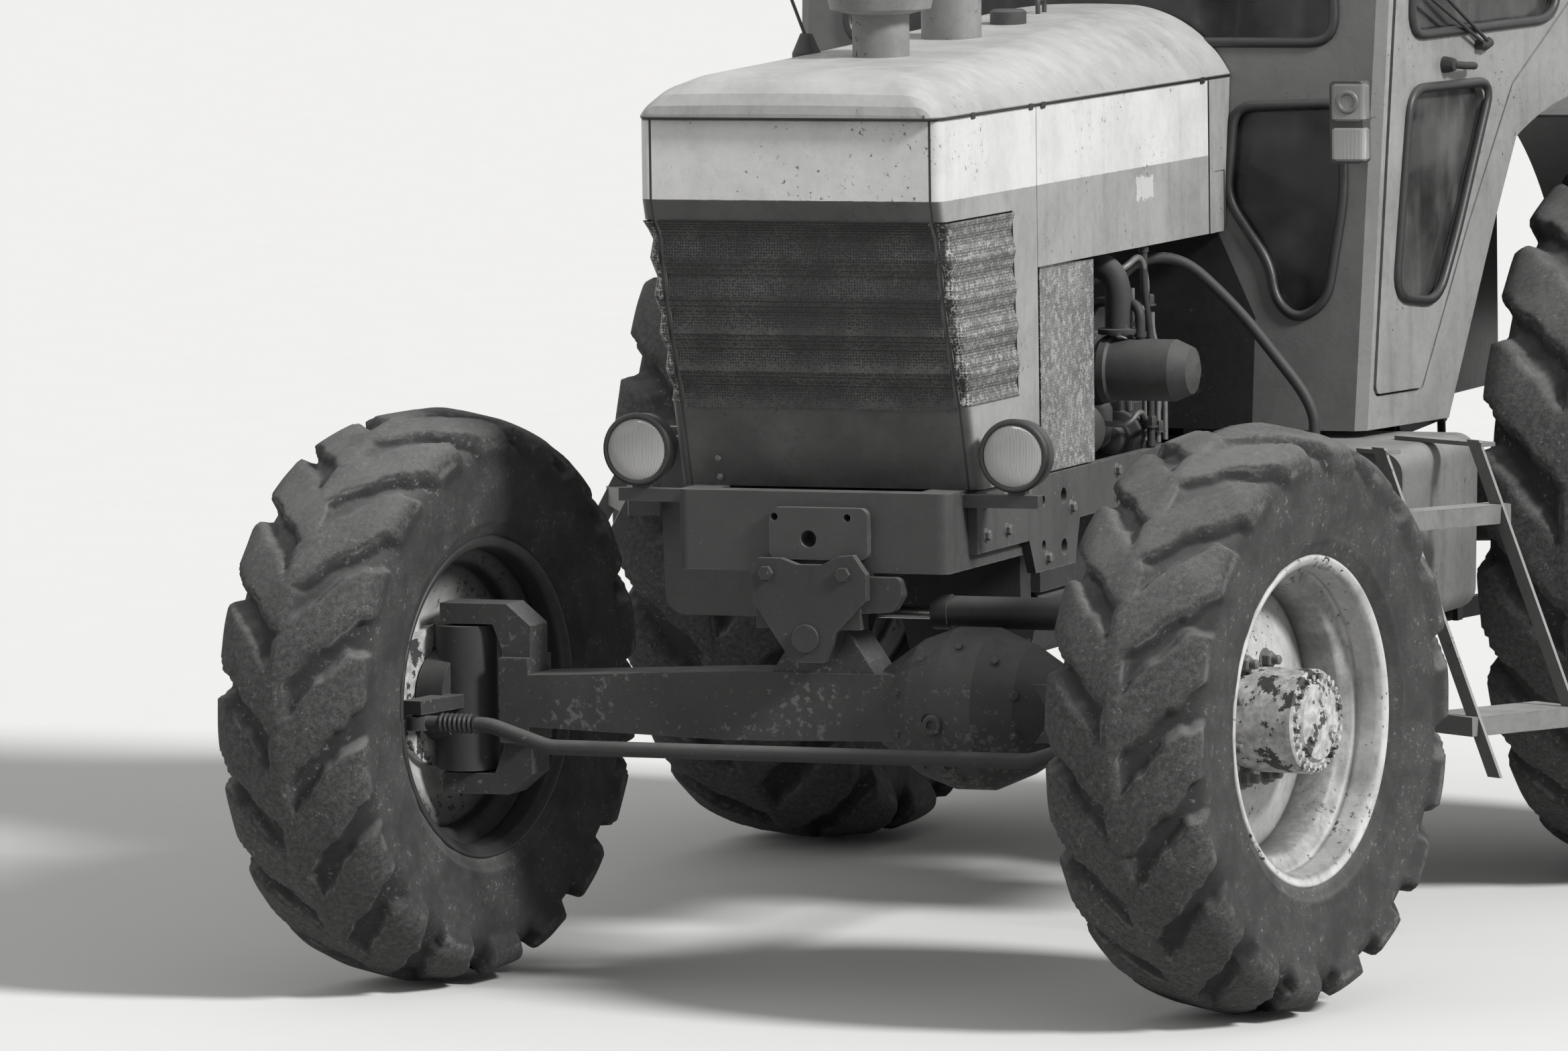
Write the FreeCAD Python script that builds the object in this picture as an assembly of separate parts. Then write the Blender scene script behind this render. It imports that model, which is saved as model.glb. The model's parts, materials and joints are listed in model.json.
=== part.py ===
import FreeCAD, Part
import math
import os

V = FreeCAD.Vector

# The tractor faces -Y, its left side is +X, and the ground is Z = 0.
# While it is modelled, Y = 0 is the front axle; the last step moves the
# origin to the middle of the footprint. Millimetres throughout.

# Wheels and tyres
wheelbase = 2920.0
kingpin_x = 925.0
tyre_offset = 100.0             # kingpin to the middle of the front tyre
steer_rest = -9.2               # degrees about +Z: the fronts point to the right side
front_size = {"radius": 675.0, "width": 380.0, "rim": 381.0, "lug": 30.0, "lugs": 18}
rear_size = {"radius": 905.0, "width": 500.0, "rim": 510.0, "lug": 40.0, "lugs": 18}
rear_tyre_x = 1150.0
rim_plate = 8.0
disc_plate = 12.0
seat_gap = 0.2                  # between pieces that are bolted together
run_gap = 6.0                   # between pieces that turn past each other
bearing_gap = 0.06              # radial, a shaft in its bearing

# Front axle
axle_z = front_size["radius"]
beam_end = 760.0
fork_half = 176.0               # axle line to the fork's inner faces
fork_arm = 48.0
pin_r = 22.0
pivot_rise = 175.0              # axle line to the oscillation pin
pivot_r = 32.0
case_x = 340.0
case_y = 35.0
case_r = 188.0
arm_forward = 215.0             # steering arm, kingpin to tie rod
tie_drop = 40.0                 # tie rod ends below the axle line
tie_r = 18.0
ram_arm = 204.0                 # rear arm, kingpin to the steering cylinder
ram_z = axle_z + 205.0
ram_eye_x = -25.0
ram_gland = 215.0               # rod eye to the barrel's gland
ram_y = ram_arm * math.cos(math.radians(steer_rest))
ram_r = 38.0
ram_barrel = 404.0
ram_rod_r = 18.0
spindle_r = 50.0
ear_rear = 85.0                 # rear ear of the pivot bracket
ear_plate = 16.0

# Frame under the nose
hood_low = 1185.0
bolster_half = 335.0
bolster_front = -130.0
bolster_back = 392.0
bolster_low = 1000.0
bolster_top = hood_low - seat_gap
rail_plate = 22.0
rail_back = 1700.0

# Hood and nose
hood_half = 372.0
skin = 6.0
hood_round = 26.0
hood_lip = 2050.0
hood_sill = 1672.0
nose_back = 392.0
band_front = 1618.0
hood_back = 1752.0
seam = 5.0
grille_half = 334.0
grille_low = 1370.0
grille_top = 1812.0
grille_waves = 5
grille_swell = 6.0              # crests stand out, valleys lie in
grille_sheet = 5.0
# front face of the nose: Y, Z from the top down
nose_face = [(-238, 2050), (-238, 1861), (-222, 1812), (-195, 1779), (-150, 1600),
             (-62, 1370), (-8, 1185)]
# rear edge of the side grille: Y, Z
side_grille_back = [(253, 1384), (224, 1815)]

# Drive line
engine_front = 880.0
engine_back = 1660.0
engine_half = 190.0
housing_back = wheelbase - 270
axle_back = wheelbase + 270
rear_z = rear_size["radius"]

# Cab
wall = 40.0
floor_z = 1190.0
floor_plate = 36.0
cab_front = 1672.0              # front wall at the floor
cab_lean = 0.124                # the front wall moves back this much per unit height
cab_half = 740.0                # side wall at the front corner
cab_spread = 0.18               # side walls spread this much per unit length
corner = 22.0
cab_back = wheelbase + 320
cab_wide_y = wheelbase - 120
roof_z = 2860.0
arch_r = 1060.0                 # wheel arch about the rear axle
tub_half = 600.0
fender_front = 108.0            # degrees about the rear axle, from the rear
door_gap = 6.0
glass = 6.0

# Rear hitch
rock_y = axle_back + 46
rock_z = 1080.0
lift_arm = 300.0
link_y = axle_back - 110
link_z = 560.0
link_length = 880.0
link_lift = 480.0
link_x = 260.0
link_spread = 150.0
link_pin_r = 14.0
rock_r = 30.0
housing_low = 640.0


def box(x0, x1, y0, y1, z0, z1):
    low = V(min(x0, x1), min(y0, y1), min(z0, z1))
    return Part.makeBox(abs(x1 - x0), abs(y1 - y0), abs(z1 - z0), low)


def cylinder(start, direction, radius, length):
    return Part.makeCylinder(radius, length, V(*start), V(*direction))


def prism(points, axis, low, high):
    """Extrudes a closed outline along X, Y or Z, from low to high."""
    if axis == "x":
        corners = [V(low, a, b) for a, b in points]
        travel = V(high - low, 0, 0)
    elif axis == "y":
        corners = [V(a, low, b) for a, b in points]
        travel = V(0, high - low, 0)
    else:
        corners = [V(a, b, low) for a, b in points]
        travel = V(0, 0, high - low)
    return Part.Face(Part.makePolygon(corners + corners[:1])).extrude(travel)


def soft_prism(points, radius, axis, low, high):
    """A prism with its long edges rounded."""
    body = prism(points, axis, low, high)
    along = {"x": V(1, 0, 0), "y": V(0, 1, 0), "z": V(0, 0, 1)}[axis]
    edges = [e for e in body.Edges if abs(e.tangentAt(e.FirstParameter).dot(along)) > 0.999]
    return body.makeFillet(radius, edges)


def revolve(profile, start, axis):
    """Turns (along, radius) points about an axis through start."""
    direction = V(*axis).normalize()
    side = V(0, 0, 1) if abs(direction.z) < 0.9 else V(1, 0, 0)
    across = direction.cross(side).cross(direction).normalize()
    origin = V(*start)
    corners = [origin + direction * a + across * r for a, r in profile]
    face = Part.Face(Part.makePolygon(corners + corners[:1]))
    return face.revolve(origin, direction, 360)


def pipe(points, radius, bend):
    """A round bar along straight runs joined by arcs."""
    path = [V(*p) for p in points]
    edges = []
    start = path[0]
    for i in range(1, len(path) - 1):
        back = (path[i - 1] - path[i]).normalize()
        ahead = (path[i + 1] - path[i]).normalize()
        half = back.getAngle(ahead) / 2
        reach = bend / math.tan(half)
        first = path[i] + back * reach
        last = path[i] + ahead * reach
        middle = path[i] + (back + ahead).normalize() * (bend / math.sin(half) - bend)
        edges.append(Part.makeLine(start, first))
        edges.append(Part.Arc(first, middle, last).toShape())
        start = last
    edges.append(Part.makeLine(start, path[-1]))
    circle = Part.Wire(Part.makeCircle(radius, path[0], path[1] - path[0]))
    return Part.Wire(edges).makePipeShell([circle], True, True)


def join(shapes):
    return shapes[0].fuse(shapes[1:]).removeSplitter()


def group(shapes):
    return Part.makeCompound(shapes)


def mirrored(shape):
    return shape.mirror(V(0, 0, 0), V(1, 0, 0))


def both(shape):
    return group([shape, mirrored(shape)])


# Wheels are modelled about the X axis, the outer side towards +X.

def ring_points(profile, sides, step, axis_shift=0.0):
    """Points of a profile of (along, radius) at one step round the X axis."""
    angle = 2 * math.pi * (step + axis_shift) / sides
    return [V(a, r * math.sin(angle), r * math.cos(angle)) for a, r in profile]


def faceted_ring(profile, sides):
    """A ring about the X axis from flat faces, lighter than a true revolve."""
    faces = []
    stations = [ring_points(profile, sides, i) for i in range(sides)]
    for i in range(sides):
        here = stations[i]
        there = stations[(i + 1) % sides]
        for j in range(len(profile)):
            k = (j + 1) % len(profile)
            faces.append(Part.Face(Part.makePolygon([here[j], here[k], there[k], there[j], here[j]])))
    solid = Part.makeSolid(Part.makeShell(faces))
    if solid.Volume < 0:
        solid.reverse()
    return solid


def tyre_carcass(size):
    half = size["width"] / 2
    base = size["radius"] - size["lug"]
    sides = size["lugs"]
    bead = (size["rim"] - 20 + seat_gap) / math.cos(math.pi / sides)
    # columns: distance along the axle, radius
    outline = [
        (-half * 0.72, bead), (-half, (bead + base) / 2 + 10), (-half * 0.84, base - 20),
        (half * 0.84, base - 20), (half, (bead + base) / 2 + 10), (half * 0.72, bead),
    ]
    return faceted_ring(outline, sides)


def tyre_lug(size, side):
    """One bar of the tread, from past the middle line down the rounded shoulder."""
    half = size["width"] / 2
    top = size["radius"]
    wide = size["width"] * 0.16
    reach = size["width"] * 0.24 / top
    # columns: distance along the axle, radius of the crest, turn round the axle
    ends = [(-0.08 * half, top, -reach), (0.96 * half, top - 50, reach)]
    start, end = [V(side * x, r * math.sin(turn), r * math.cos(turn)) for x, r, turn in ends]
    middle = (start + end) * 0.5
    down = V(0, -middle.y, -middle.z).normalize() * (size["lug"] + 20)
    across = down.cross(end - start).normalize() * wide
    corners = [start + across * 0.38, start + across * 0.5 + down,
               start - across * 0.5 + down, start - across * 0.38]
    return Part.Face(Part.makePolygon(corners + corners[:1])).extrude(end - start)


def tyre(size):
    pitch = 360.0 / size["lugs"]
    bars = []
    for side, shift in ((1, 0.0), (-1, pitch / 2)):
        bar = tyre_lug(size, side)
        for i in range(size["lugs"]):
            copy = bar.copy()
            copy.rotate(V(0, 0, 0), V(1, 0, 0), shift + i * pitch)
            bars.append(copy)
    return tyre_carcass(size).fuse(bars)


def hex_bolt(start, direction, radius, length):
    """A hexagon head or stud end."""
    axis = V(*direction).normalize()
    side = V(0, 0, 1) if abs(axis.z) < 0.9 else V(1, 0, 0)
    across = axis.cross(side).normalize()
    other = axis.cross(across)
    points = []
    for i in range(6):
        angle = math.pi * i / 3
        points.append(V(*start) + across * (radius * math.cos(angle)) + other * (radius * math.sin(angle)))
    return Part.Face(Part.makePolygon(points + points[:1])).extrude(axis * length)


def rim(size, disc_x, hole_r, bolt_r, bolts):
    """Rim and the dished disc that seats on the hub; the tyre hides the well's outside."""
    half = size["width"] / 2
    edge = size["rim"]
    seat = edge - 20
    well = edge - 62
    # columns: distance along the axle, radius
    outline = [
        (-half * 0.84, edge), (-half * 0.76, edge), (-half * 0.76, seat), (half * 0.76, seat),
        (half * 0.76, edge), (half * 0.84, edge), (half * 0.84, seat - rim_plate),
        (half * 0.44, seat - rim_plate), (half * 0.30, well - rim_plate),
        (-half * 0.30, well - rim_plate), (-half * 0.44, seat - rim_plate),
        (-half * 0.84, seat - rim_plate),
    ]
    ring = revolve(outline, (0, 0, 0), (1, 0, 0))
    rise = size["width"] * 0.08
    dish = [
        (disc_x, hole_r), (disc_x, bolt_r + 45), (disc_x - rise, well - 50),
        (disc_x - rise, well - rim_plate + 2), (disc_x - rise + disc_plate, well - rim_plate + 2),
        (disc_x - rise + disc_plate, well - 46), (disc_x + disc_plate, bolt_r + 49),
        (disc_x + disc_plate, hole_r),
    ]
    disc = revolve(dish, (0, 0, 0), (1, 0, 0))
    studs = []
    for i in range(bolts):
        angle = 2 * math.pi * (i + 0.5) / bolts
        spot = (disc_x + disc_plate - 1, bolt_r * math.sin(angle), bolt_r * math.cos(angle))
        studs.append(hex_bolt(spot, (1, 0, 0), 16, 17))
    return ring.fuse([disc] + studs)


front_disc = -3.0
front_drum_r = 120.0
front_bolt_r = 142.0
flange_r = 168.0


def front_hub():
    """Planetary hub: flange behind the disc, drum, cap and cap screws."""
    back = front_disc - 20
    face = front_disc + 172
    profile = [
        (back, spindle_r + bearing_gap), (back, flange_r), (front_disc, flange_r), (front_disc, front_drum_r),
        (face - 5, front_drum_r), (face, front_drum_r - 5), (face, 92), (face + 12, 86),
        (face + 18, 40), (face + 18, 0), (front_disc + 60, 0), (front_disc + 60, spindle_r + bearing_gap),
    ]
    hub = revolve(profile, (0, 0, 0), (1, 0, 0))
    screws = []
    # columns: count, circle radius, screw radius, where it starts, how far it stands
    for count, circle, radius, start, rise in ((28, 105.0, 7.5, face - 1, 12.0), (3, 52.0, 17.0, face + 8, 15.0)):
        for i in range(count):
            angle = 2 * math.pi * i / count
            spot = (start, circle * math.sin(angle), circle * math.cos(angle))
            screws.append(hex_bolt(spot, (1, 0, 0), radius, rise))
    return hub.fuse(screws)


def knuckle(left):
    """Steering knuckle about the kingpin at X = -tyre_offset in the wheel's frame."""
    king = -tyre_offset
    barrel = cylinder((king, 0, -fork_half + run_gap), (0, 0, 1), 72, 2 * (fork_half - run_gap))
    flange = front_disc - 20 - run_gap
    spindle = cylinder((king, 0, 0), (1, 0, 0), 112, flange - king)
    nose = cylinder((flange - 5, 0, 0), (1, 0, 0), spindle_r, 75)
    pins = cylinder((king, 0, -fork_half - fork_arm), (0, 0, 1), pin_r, 2 * (fork_half + fork_arm))
    arm = prism([(king - 34, 10), (king + 34, 10), (king + 26, -arm_forward - 28),
                 (king - 26, -arm_forward - 28)], "z", -tie_drop + 20, -tie_drop + 52)
    ball = cylinder((king, -arm_forward, -tie_drop - 14), (0, 0, 1), 13, 50)
    parts = [barrel, spindle, nose, pins, arm, ball]
    if left:
        high = ram_z - axle_z
        rise = prism([(40, -60), (105, -60), (ram_arm + 30, high - 52), (ram_arm + 30, high - 22),
                      (150, high - 22), (40, 40)], "x", king - 30, king + 30)
        post = cylinder((king, ram_arm, high - 26), (0, 0, 1), 14, 60)
        parts += [rise, post]
    return join(parts)


def to_wheel_place(shape, side):
    """Puts a front wheel's piece at its kingpin, turned to the rest angle."""
    copy = shape.copy()
    if side < 0:
        copy = mirrored(copy)
    copy.translate(V(side * (kingpin_x + tyre_offset), 0, axle_z))
    copy.rotate(V(side * kingpin_x, 0, 0), V(0, 0, 1), steer_rest)
    return copy


def axle_fork():
    """End yoke that holds the knuckle between its two kingpins."""
    back = beam_end - 20
    low = fork_half
    high = fork_half + fork_arm
    arm = prism([(back, 60), (back, high - 50), (back + 60, high), (kingpin_x + 44, high),
                 (kingpin_x + 44, low), (back + 95, low), (back + 72, low - 60), (back + 72, 60)],
                "y", -52, 52)
    arm.translate(V(0, 0, axle_z))
    lower = arm.mirror(V(0, 0, axle_z), V(0, 0, 1))
    web = box(back, back + 72, -72, 72, axle_z - 100, axle_z + 100)
    bore = cylinder((kingpin_x, 0, axle_z - 300), (0, 0, 1), pin_r + bearing_gap, 600)
    return join([arm, lower, web]).cut(bore)


snout_end = 300.0


def axle_beam():
    """Cast beam with its differential case off to the left."""
    spine = prism([(-beam_end, -60), (-240, -78), (beam_end, -60), (beam_end, 60), (240, 84),
                   (-200, 84), (-beam_end, 60)], "y", -72, 72)
    spine.translate(V(0, 0, axle_z))
    case = revolve([(-222, 0), (-222, 90), (-120, 160), (-40, case_r), (50, case_r), (140, 150),
                    (235, 90), (235, 0)], (case_x, case_y, axle_z), (1, 0, 0))
    snout = revolve([(0, 0), (0, 150), (170, 118), (255, 62), (snout_end, 62), (snout_end, 0)],
                    (case_x, case_y + 60, axle_z), (0, 1, 0))
    saddle = prism([(-150, 50), (150, 50), (60, pivot_rise + 8), (-60, pivot_rise + 8)], "y", -66, 66)
    saddle.translate(V(0, 0, axle_z))
    trunnion = cylinder((0, -100, axle_z + pivot_rise), (0, 1, 0), 60, 100 + ear_rear - 4)
    plug = revolve([(0, 0), (0, 34), (14, 34), (14, 18), (8, 18), (8, 0)],
                   (290, case_y - case_r + 16, axle_z - 12), (0, -1, 0))
    x0 = ram_eye_x - 32
    plates = [box(x0, x0 + 64, ram_y - 30, ram_y + 60, ram_z + z, ram_z + z + 12) for z in (-36, 24)]
    foot = box(x0, x0 + 64, 60, ram_y + 60, axle_z + 50, axle_z + 105)
    stem = foot.fuse(box(x0, x0 + 64, ram_y + 34, ram_y + 60, axle_z + 60, ram_z + 38))
    body = join([spine, case, snout, saddle, trunnion, plug, stem] + plates + [axle_fork(), mirrored(axle_fork())])
    return body.cut(cylinder((0, -140, axle_z + pivot_rise), (0, 1, 0), pivot_r + bearing_gap, 280))


def tie_rod():
    """Bar ahead of the axle, dropped between its two ball ends."""
    turn = math.radians(steer_rest)
    y = -arm_forward * math.cos(turn)
    shift = arm_forward * math.sin(turn)
    left = kingpin_x + shift
    right = -kingpin_x + shift
    end_z = axle_z - tie_drop - 2
    mid_z = end_z - 48
    bar = pipe([(right, y, end_z), (right + 180, y, end_z), (right + 330, y, mid_z),
                (left - 330, y, mid_z), (left - 180, y, end_z), (left, y, end_z)], tie_r, 120)
    ends = [cylinder((x, y, end_z - 16), (0, 0, 1), 30, 32) for x in (left, right)]
    holes = [cylinder((x, y, end_z - 40), (0, 0, 1), 13 + bearing_gap, 80) for x in (left, right)]
    return join([bar] + ends).cut(group(holes))


def ram_pin():
    turn = math.radians(steer_rest)
    return kingpin_x - ram_arm * math.sin(turn), ram_arm * math.cos(turn)


def steering_ram():
    """Barrel with its neck pinned on the left knuckle, rod towards the axle's middle."""
    x, y = ram_pin()
    gland = ram_eye_x + ram_gland
    eye = cylinder((x, y, ram_z - 16), (0, 0, 1), 28, 32)
    barrel = cylinder((gland, y, ram_z), (1, 0, 0), ram_r, ram_barrel)
    ring = cylinder((gland - 12, y, ram_z), (1, 0, 0), ram_r + 3, 40)
    bore = cylinder((gland - 20, y, ram_z), (1, 0, 0), ram_rod_r + bearing_gap, ram_barrel)
    neck = cylinder((gland + ram_barrel - 5, y, ram_z), (1, 0, 0), 16, x - gland - ram_barrel)
    hole = cylinder((x, y, ram_z - 40), (0, 0, 1), 14 + bearing_gap, 80)
    body = join([barrel, ring, neck, eye]).cut(bore).cut(hole)
    rod = cylinder((ram_eye_x + 20, y, ram_z), (1, 0, 0), ram_rod_r, 330)
    end = cylinder((ram_eye_x, y, ram_z - 16), (0, 0, 1), 28, 32)
    hole = cylinder((ram_eye_x, y, ram_z - 40), (0, 0, 1), 14, 80)
    return body, join([rod, end]).cut(hole)


def bolster():
    body = box(-bolster_half, bolster_half, bolster_front, bolster_back, bolster_low, bolster_top)
    edges = [e for e in body.Edges if abs(e.tangentAt(0).z) > 0.99 and e.BoundBox.YMax < 0]
    body = body.makeFillet(28, edges)
    pad = soft_prism([(-96, 1030), (146, 1030), (146, 1150), (-96, 1150)], 20, "y", bolster_front - 22, 0)
    holes = [cylinder((0, -200, 1078), (0, 1, 0), 20, 130)]
    for x in (-84, 96):
        holes.append(cylinder((x, -200, 1128), (0, 1, 0), 9, 110))
    pocket = box(-250, 250, bolster_front + 60, bolster_back - 40, bolster_low + 50, bolster_top + 1)
    arm = lamp_bracket()
    return join([body, pad]).cut(group(holes + [pocket])).fuse([arm, mirrored(arm)])


def pivot_bracket():
    """Casting under the bolster whose two ears carry the axle's pin."""
    z = axle_z + pivot_rise
    ear_back = ear_rear + ear_plate
    seat = bolster_low - seat_gap
    # columns: X, Z; the front plate's top edge rises over its two bolts
    plate = [(-132, 1012), (-118, 1034), (-60, 1034), (-20, 1020), (40, 1020), (80, 1040), (118, 1044),
             (150, 1000), (150, 940), (70, 860), (42, z - 56), (-36, z - 56), (-62, z - 16), (-128, 930)]
    front = prism(plate, "y", -176, bolster_front - 22 - seat_gap)
    neck = box(-128, 128, -160, -106, z + 20, seat - 40)
    low = [(-125, seat), (125, seat), (112, seat - 30), (58, z - 20), (36, z - 56), (-36, z - 56),
           (-58, z - 20), (-112, seat - 30)]
    inner = prism(low, "y", -160, -106)
    rear = prism(low, "y", ear_rear, ear_back)
    top = box(-150, 150, bolster_front, ear_back, seat - 22, seat)
    wing = soft_prism([(100, 905), (205, 912), (228, 950), (222, 992), (100, 992)], 14, "y", -150, -112)
    pin = cylinder((0, -184, z), (0, 1, 0), pivot_r, 184 + ear_back + 2)
    bolts = [hex_bolt((x, -176, 1000), (0, -1, 0), 17, 12) for x in (-95, 95)]
    return join([front, neck, inner, rear, top, wing, pin] + bolts)


def rails():
    inner = bolster_half + seat_gap
    outer = inner + rail_plate
    # columns: Y, Z
    plate = [(6, 1035), (6, 1180), (rail_back, 1180), (rail_back, 1060), (700, 1060), (664, 955),
             (395, 955), (352, 1035)]
    left = prism(plate, "x", inner, outer)
    holes = []
    # columns: Y, Z, radius
    for y, z, r in ((590, 1120, 20), (590, 1000, 20), (450, 1120, 13), (450, 1015, 13)):
        holes.append(cylinder((bolster_half - 5, y, z), (1, 0, 0), r, rail_plate + 10))
    left = left.cut(group(holes))
    feet = [box(engine_half + seat_gap, outer - 5, y, y + 90, 1070, 1160) for y in (960, 1500)]
    feet += [box(outer - 5, 425 - seat_gap, y, y + 60, 1080, 1150) for y in (1380, 1620)]
    left = join([left] + feet)
    return both(left)


def between(points, z):
    """Y on a polyline of (Y, Z) at a height."""
    ordered = sorted(points, key=lambda point: point[1])
    for (y0, z0), (y1, z1) in zip(ordered, ordered[1:]):
        if z <= z1:
            return y0 + (y1 - y0) * (z - z0) / (z1 - z0)
    return ordered[-1][0]


def nose_ring(z, inset, radius):
    """Horizontal section of the nose with its two front corners rounded."""
    y = between(nose_face, max(z, hood_low)) + inset
    half = hood_half - inset
    k = radius * (1 - math.sqrt(0.5))
    right = [V(half - radius, y, z), V(half - k, y + k, z), V(half, y + radius, z)]
    left = [V(-p.x, p.y, z) for p in reversed(right)]
    back = nose_back + (inset if inset else 0)
    edges = [Part.Arc(*right).toShape(), Part.makeLine(right[2], V(half, back, z)),
             Part.makeLine(V(half, back, z), V(-half, back, z)), Part.makeLine(V(-half, back, z), left[0]),
             Part.Arc(*left).toShape(), Part.makeLine(left[2], right[0])]
    return Part.Wire(edges)


def nose_solid(inset, radius):
    levels = [z for y, z in nose_face]
    if inset:
        levels = [levels[0] + 10] + levels[1:-1] + [levels[-1] - 10]
    return Part.makeLoft([nose_ring(z, inset, radius) for z in levels], True, True)


def nose_shell():
    """Open-backed shell; the grille openings leave a narrow post at each front seam."""
    shell = nose_solid(0, hood_round).cut(nose_solid(skin, hood_round - skin))
    front_cut = box(-grille_half, grille_half, -400, 60, grille_low, grille_top)
    low, high = side_grille_back
    corner_x = hood_half - hood_round
    side_cut = prism([low, high, (-400, high[1]), (-400, low[1])], "x", corner_x, 500)
    return shell.cut(front_cut).cut(side_cut).cut(mirrored(side_cut))


def swell(z):
    """How far the corrugated mesh stands out at a height: crests and valleys in turn."""
    return grille_swell * math.cos(2 * math.pi * grille_waves * (z - grille_low) / (grille_top - grille_low))


def grille_levels():
    steps = grille_waves * 4
    return [grille_low + seat_gap + (grille_top - grille_low - 2 * seat_gap) * i / steps for i in range(steps + 1)]


def front_grille():
    front = [(between(nose_face, z) - swell(z), z) for z in grille_levels()]
    back = [(y + grille_sheet, z) for y, z in reversed(front)]
    return prism(front + back, "x", -grille_half + seat_gap, grille_half - seat_gap)


def corner_strip(z):
    """Section of the side mesh: round the corner, then back along the side."""
    start = hood_half - hood_round + seat_gap
    outer = hood_round + swell(z)
    inner = outer - grille_sheet
    y = between(nose_face, z) + hood_round
    end = between(side_grille_back, z) - seat_gap
    h = math.sqrt(0.5)
    arcs = [[V(start, y - r, z), V(start + r * h, y - r * h, z), V(start + r, y, z)] for r in (outer, inner)]
    edges = [Part.Arc(*arcs[0]).toShape(), Part.makeLine(arcs[0][2], V(start + outer, end, z)),
             Part.makeLine(V(start + outer, end, z), V(start + inner, end, z)),
             Part.makeLine(V(start + inner, end, z), arcs[1][2]), Part.Arc(*arcs[1][::-1]).toShape(),
             Part.makeLine(arcs[1][0], arcs[0][0])]
    return Part.Wire(edges)


def side_grilles():
    low = side_grille_back[0][1] + seat_gap
    levels = [low] + [z for z in grille_levels() if z > low + 5]
    return both(Part.makeLoft([corner_strip(z) for z in levels], True, True))


# hood sections, columns: Y, half width, rise of the crown above the lip
hood_sections = [
    (-262, 342, 12), (-256, 354, 32), (-238, 366, 58), (-200, hood_half, 84), (-110, hood_half, 100),
    (nose_back, hood_half, 116), (band_front, hood_half, 174),
]


def hood_half_points(half, rise):
    """Crown's edge, a point on the shoulder and the lip's top, in X and Z."""
    return (half - 1.45 * rise, hood_lip + rise - 3), (half - 0.4 * rise, hood_lip + 0.5 * rise + 4), (half, hood_lip + 6)


def hood_wire(y, half, rise, inset):
    """Section of the hood: a crowned top, two round shoulders and a short upright lip."""
    edge, middle, lip = hood_half_points(half, rise)
    scale = 1 - inset / half
    right = [V(x * scale, y, z - inset) for x, z in (lip, middle, edge)]
    left = [V(-p.x, y, p.z) for p in reversed(right)]
    low = hood_lip - inset
    edges = [Part.Arc(*right).toShape(), Part.Arc(right[2], V(0, y, hood_lip + rise - inset), left[0]).toShape(),
             Part.Arc(*left).toShape(), Part.makeLine(left[2], V(left[2].x, y, low)),
             Part.makeLine(V(left[2].x, y, low), V(right[0].x, y, low)),
             Part.makeLine(V(right[0].x, y, low), right[0])]
    return Part.Wire(edges)


def hood_solid():
    return Part.makeLoft([hood_wire(y, half, rise, 0) for y, half, rise in hood_sections], True, True)


pre_cleaner_y = 360.0
pre_cleaner_r = 67.0
exhaust_y = 830.0
exhaust_r = 72.0


def hood_top():
    inner = []
    for y, half, rise in hood_sections[1:]:
        inner.append(hood_wire(y + (skin if y < 0 else 1), half, rise, skin))
    core = Part.makeLoft(inner, True, True)
    cuts = []
    for y, r in ((pre_cleaner_y, pre_cleaner_r), (exhaust_y, exhaust_r)):
        cuts.append(cylinder((0, y, 2000), (0, 0, 1), r + seat_gap, 400))
    return hood_solid().cut(core).cut(group(cuts))


side_inset = 2.0


def hood_sides():
    """Flat side panels under the hood top's lip, each with a flange along its foot."""
    out = hood_half - side_inset
    panel = box(out - skin, out, nose_back + seam, band_front - seam, hood_sill, hood_lip - seat_gap)
    lip = box(out - 20, out, nose_back + seam, band_front - seam, hood_sill, hood_sill + skin)
    return both(join([panel, lip]))


def cab_front_cut(gap):
    """Everything behind a plane that runs ahead of the cab's leaning front wall."""
    low = cab_front - gap - 1000 * cab_lean
    high = cab_front - gap + 2000 * cab_lean
    return prism([(low, floor_z - 1000), (high, floor_z + 2000), (high + 900, floor_z + 2000),
                  (low + 900, floor_z - 1000)], "x", -900, 900)


def rear_band():
    """Last band of the hood, its back edge leaning with the cab's front."""
    y, half, rise = hood_sections[-1]
    travel = V(0, hood_back + 60 - band_front, 0)
    rings = [Part.Face(hood_wire(y + seat_gap, half, rise, inset)).extrude(travel) for inset in (0, skin)]
    arch = rings[0].cut(rings[1])
    side = box(hood_half - skin, hood_half, band_front + seat_gap, hood_back + 60, hood_sill, hood_lip + 1)
    notch = box(hood_half - 3, hood_half + 5, band_front + 37, hood_back - 24, hood_sill - 5, 1822)
    sides = [side.cut(notch), mirrored(side.cut(notch))]
    return join([arch] + sides).cut(cab_front_cut(seam))


def pre_cleaner():
    return revolve([(2070, 0), (2070, pre_cleaner_r), (2262, pre_cleaner_r), (2275, 118), (2300, 124), (2440, 124), (2462, 112),
                    (2478, 60), (2482, 0)], (0, pre_cleaner_y, 0), (0, 0, 1))


def exhaust():
    y = exhaust_y
    barrel = revolve([(2070, 0), (2070, exhaust_r), (2560, exhaust_r), (2590, 40), (2600, 0)],
                     (0, y, 0), (0, 0, 1))
    pipe_up = pipe([(0, y, 2580), (0, y, 2960), (0, y + 130, 3040)], 36, 90)
    return join([barrel, pipe_up])


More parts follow.
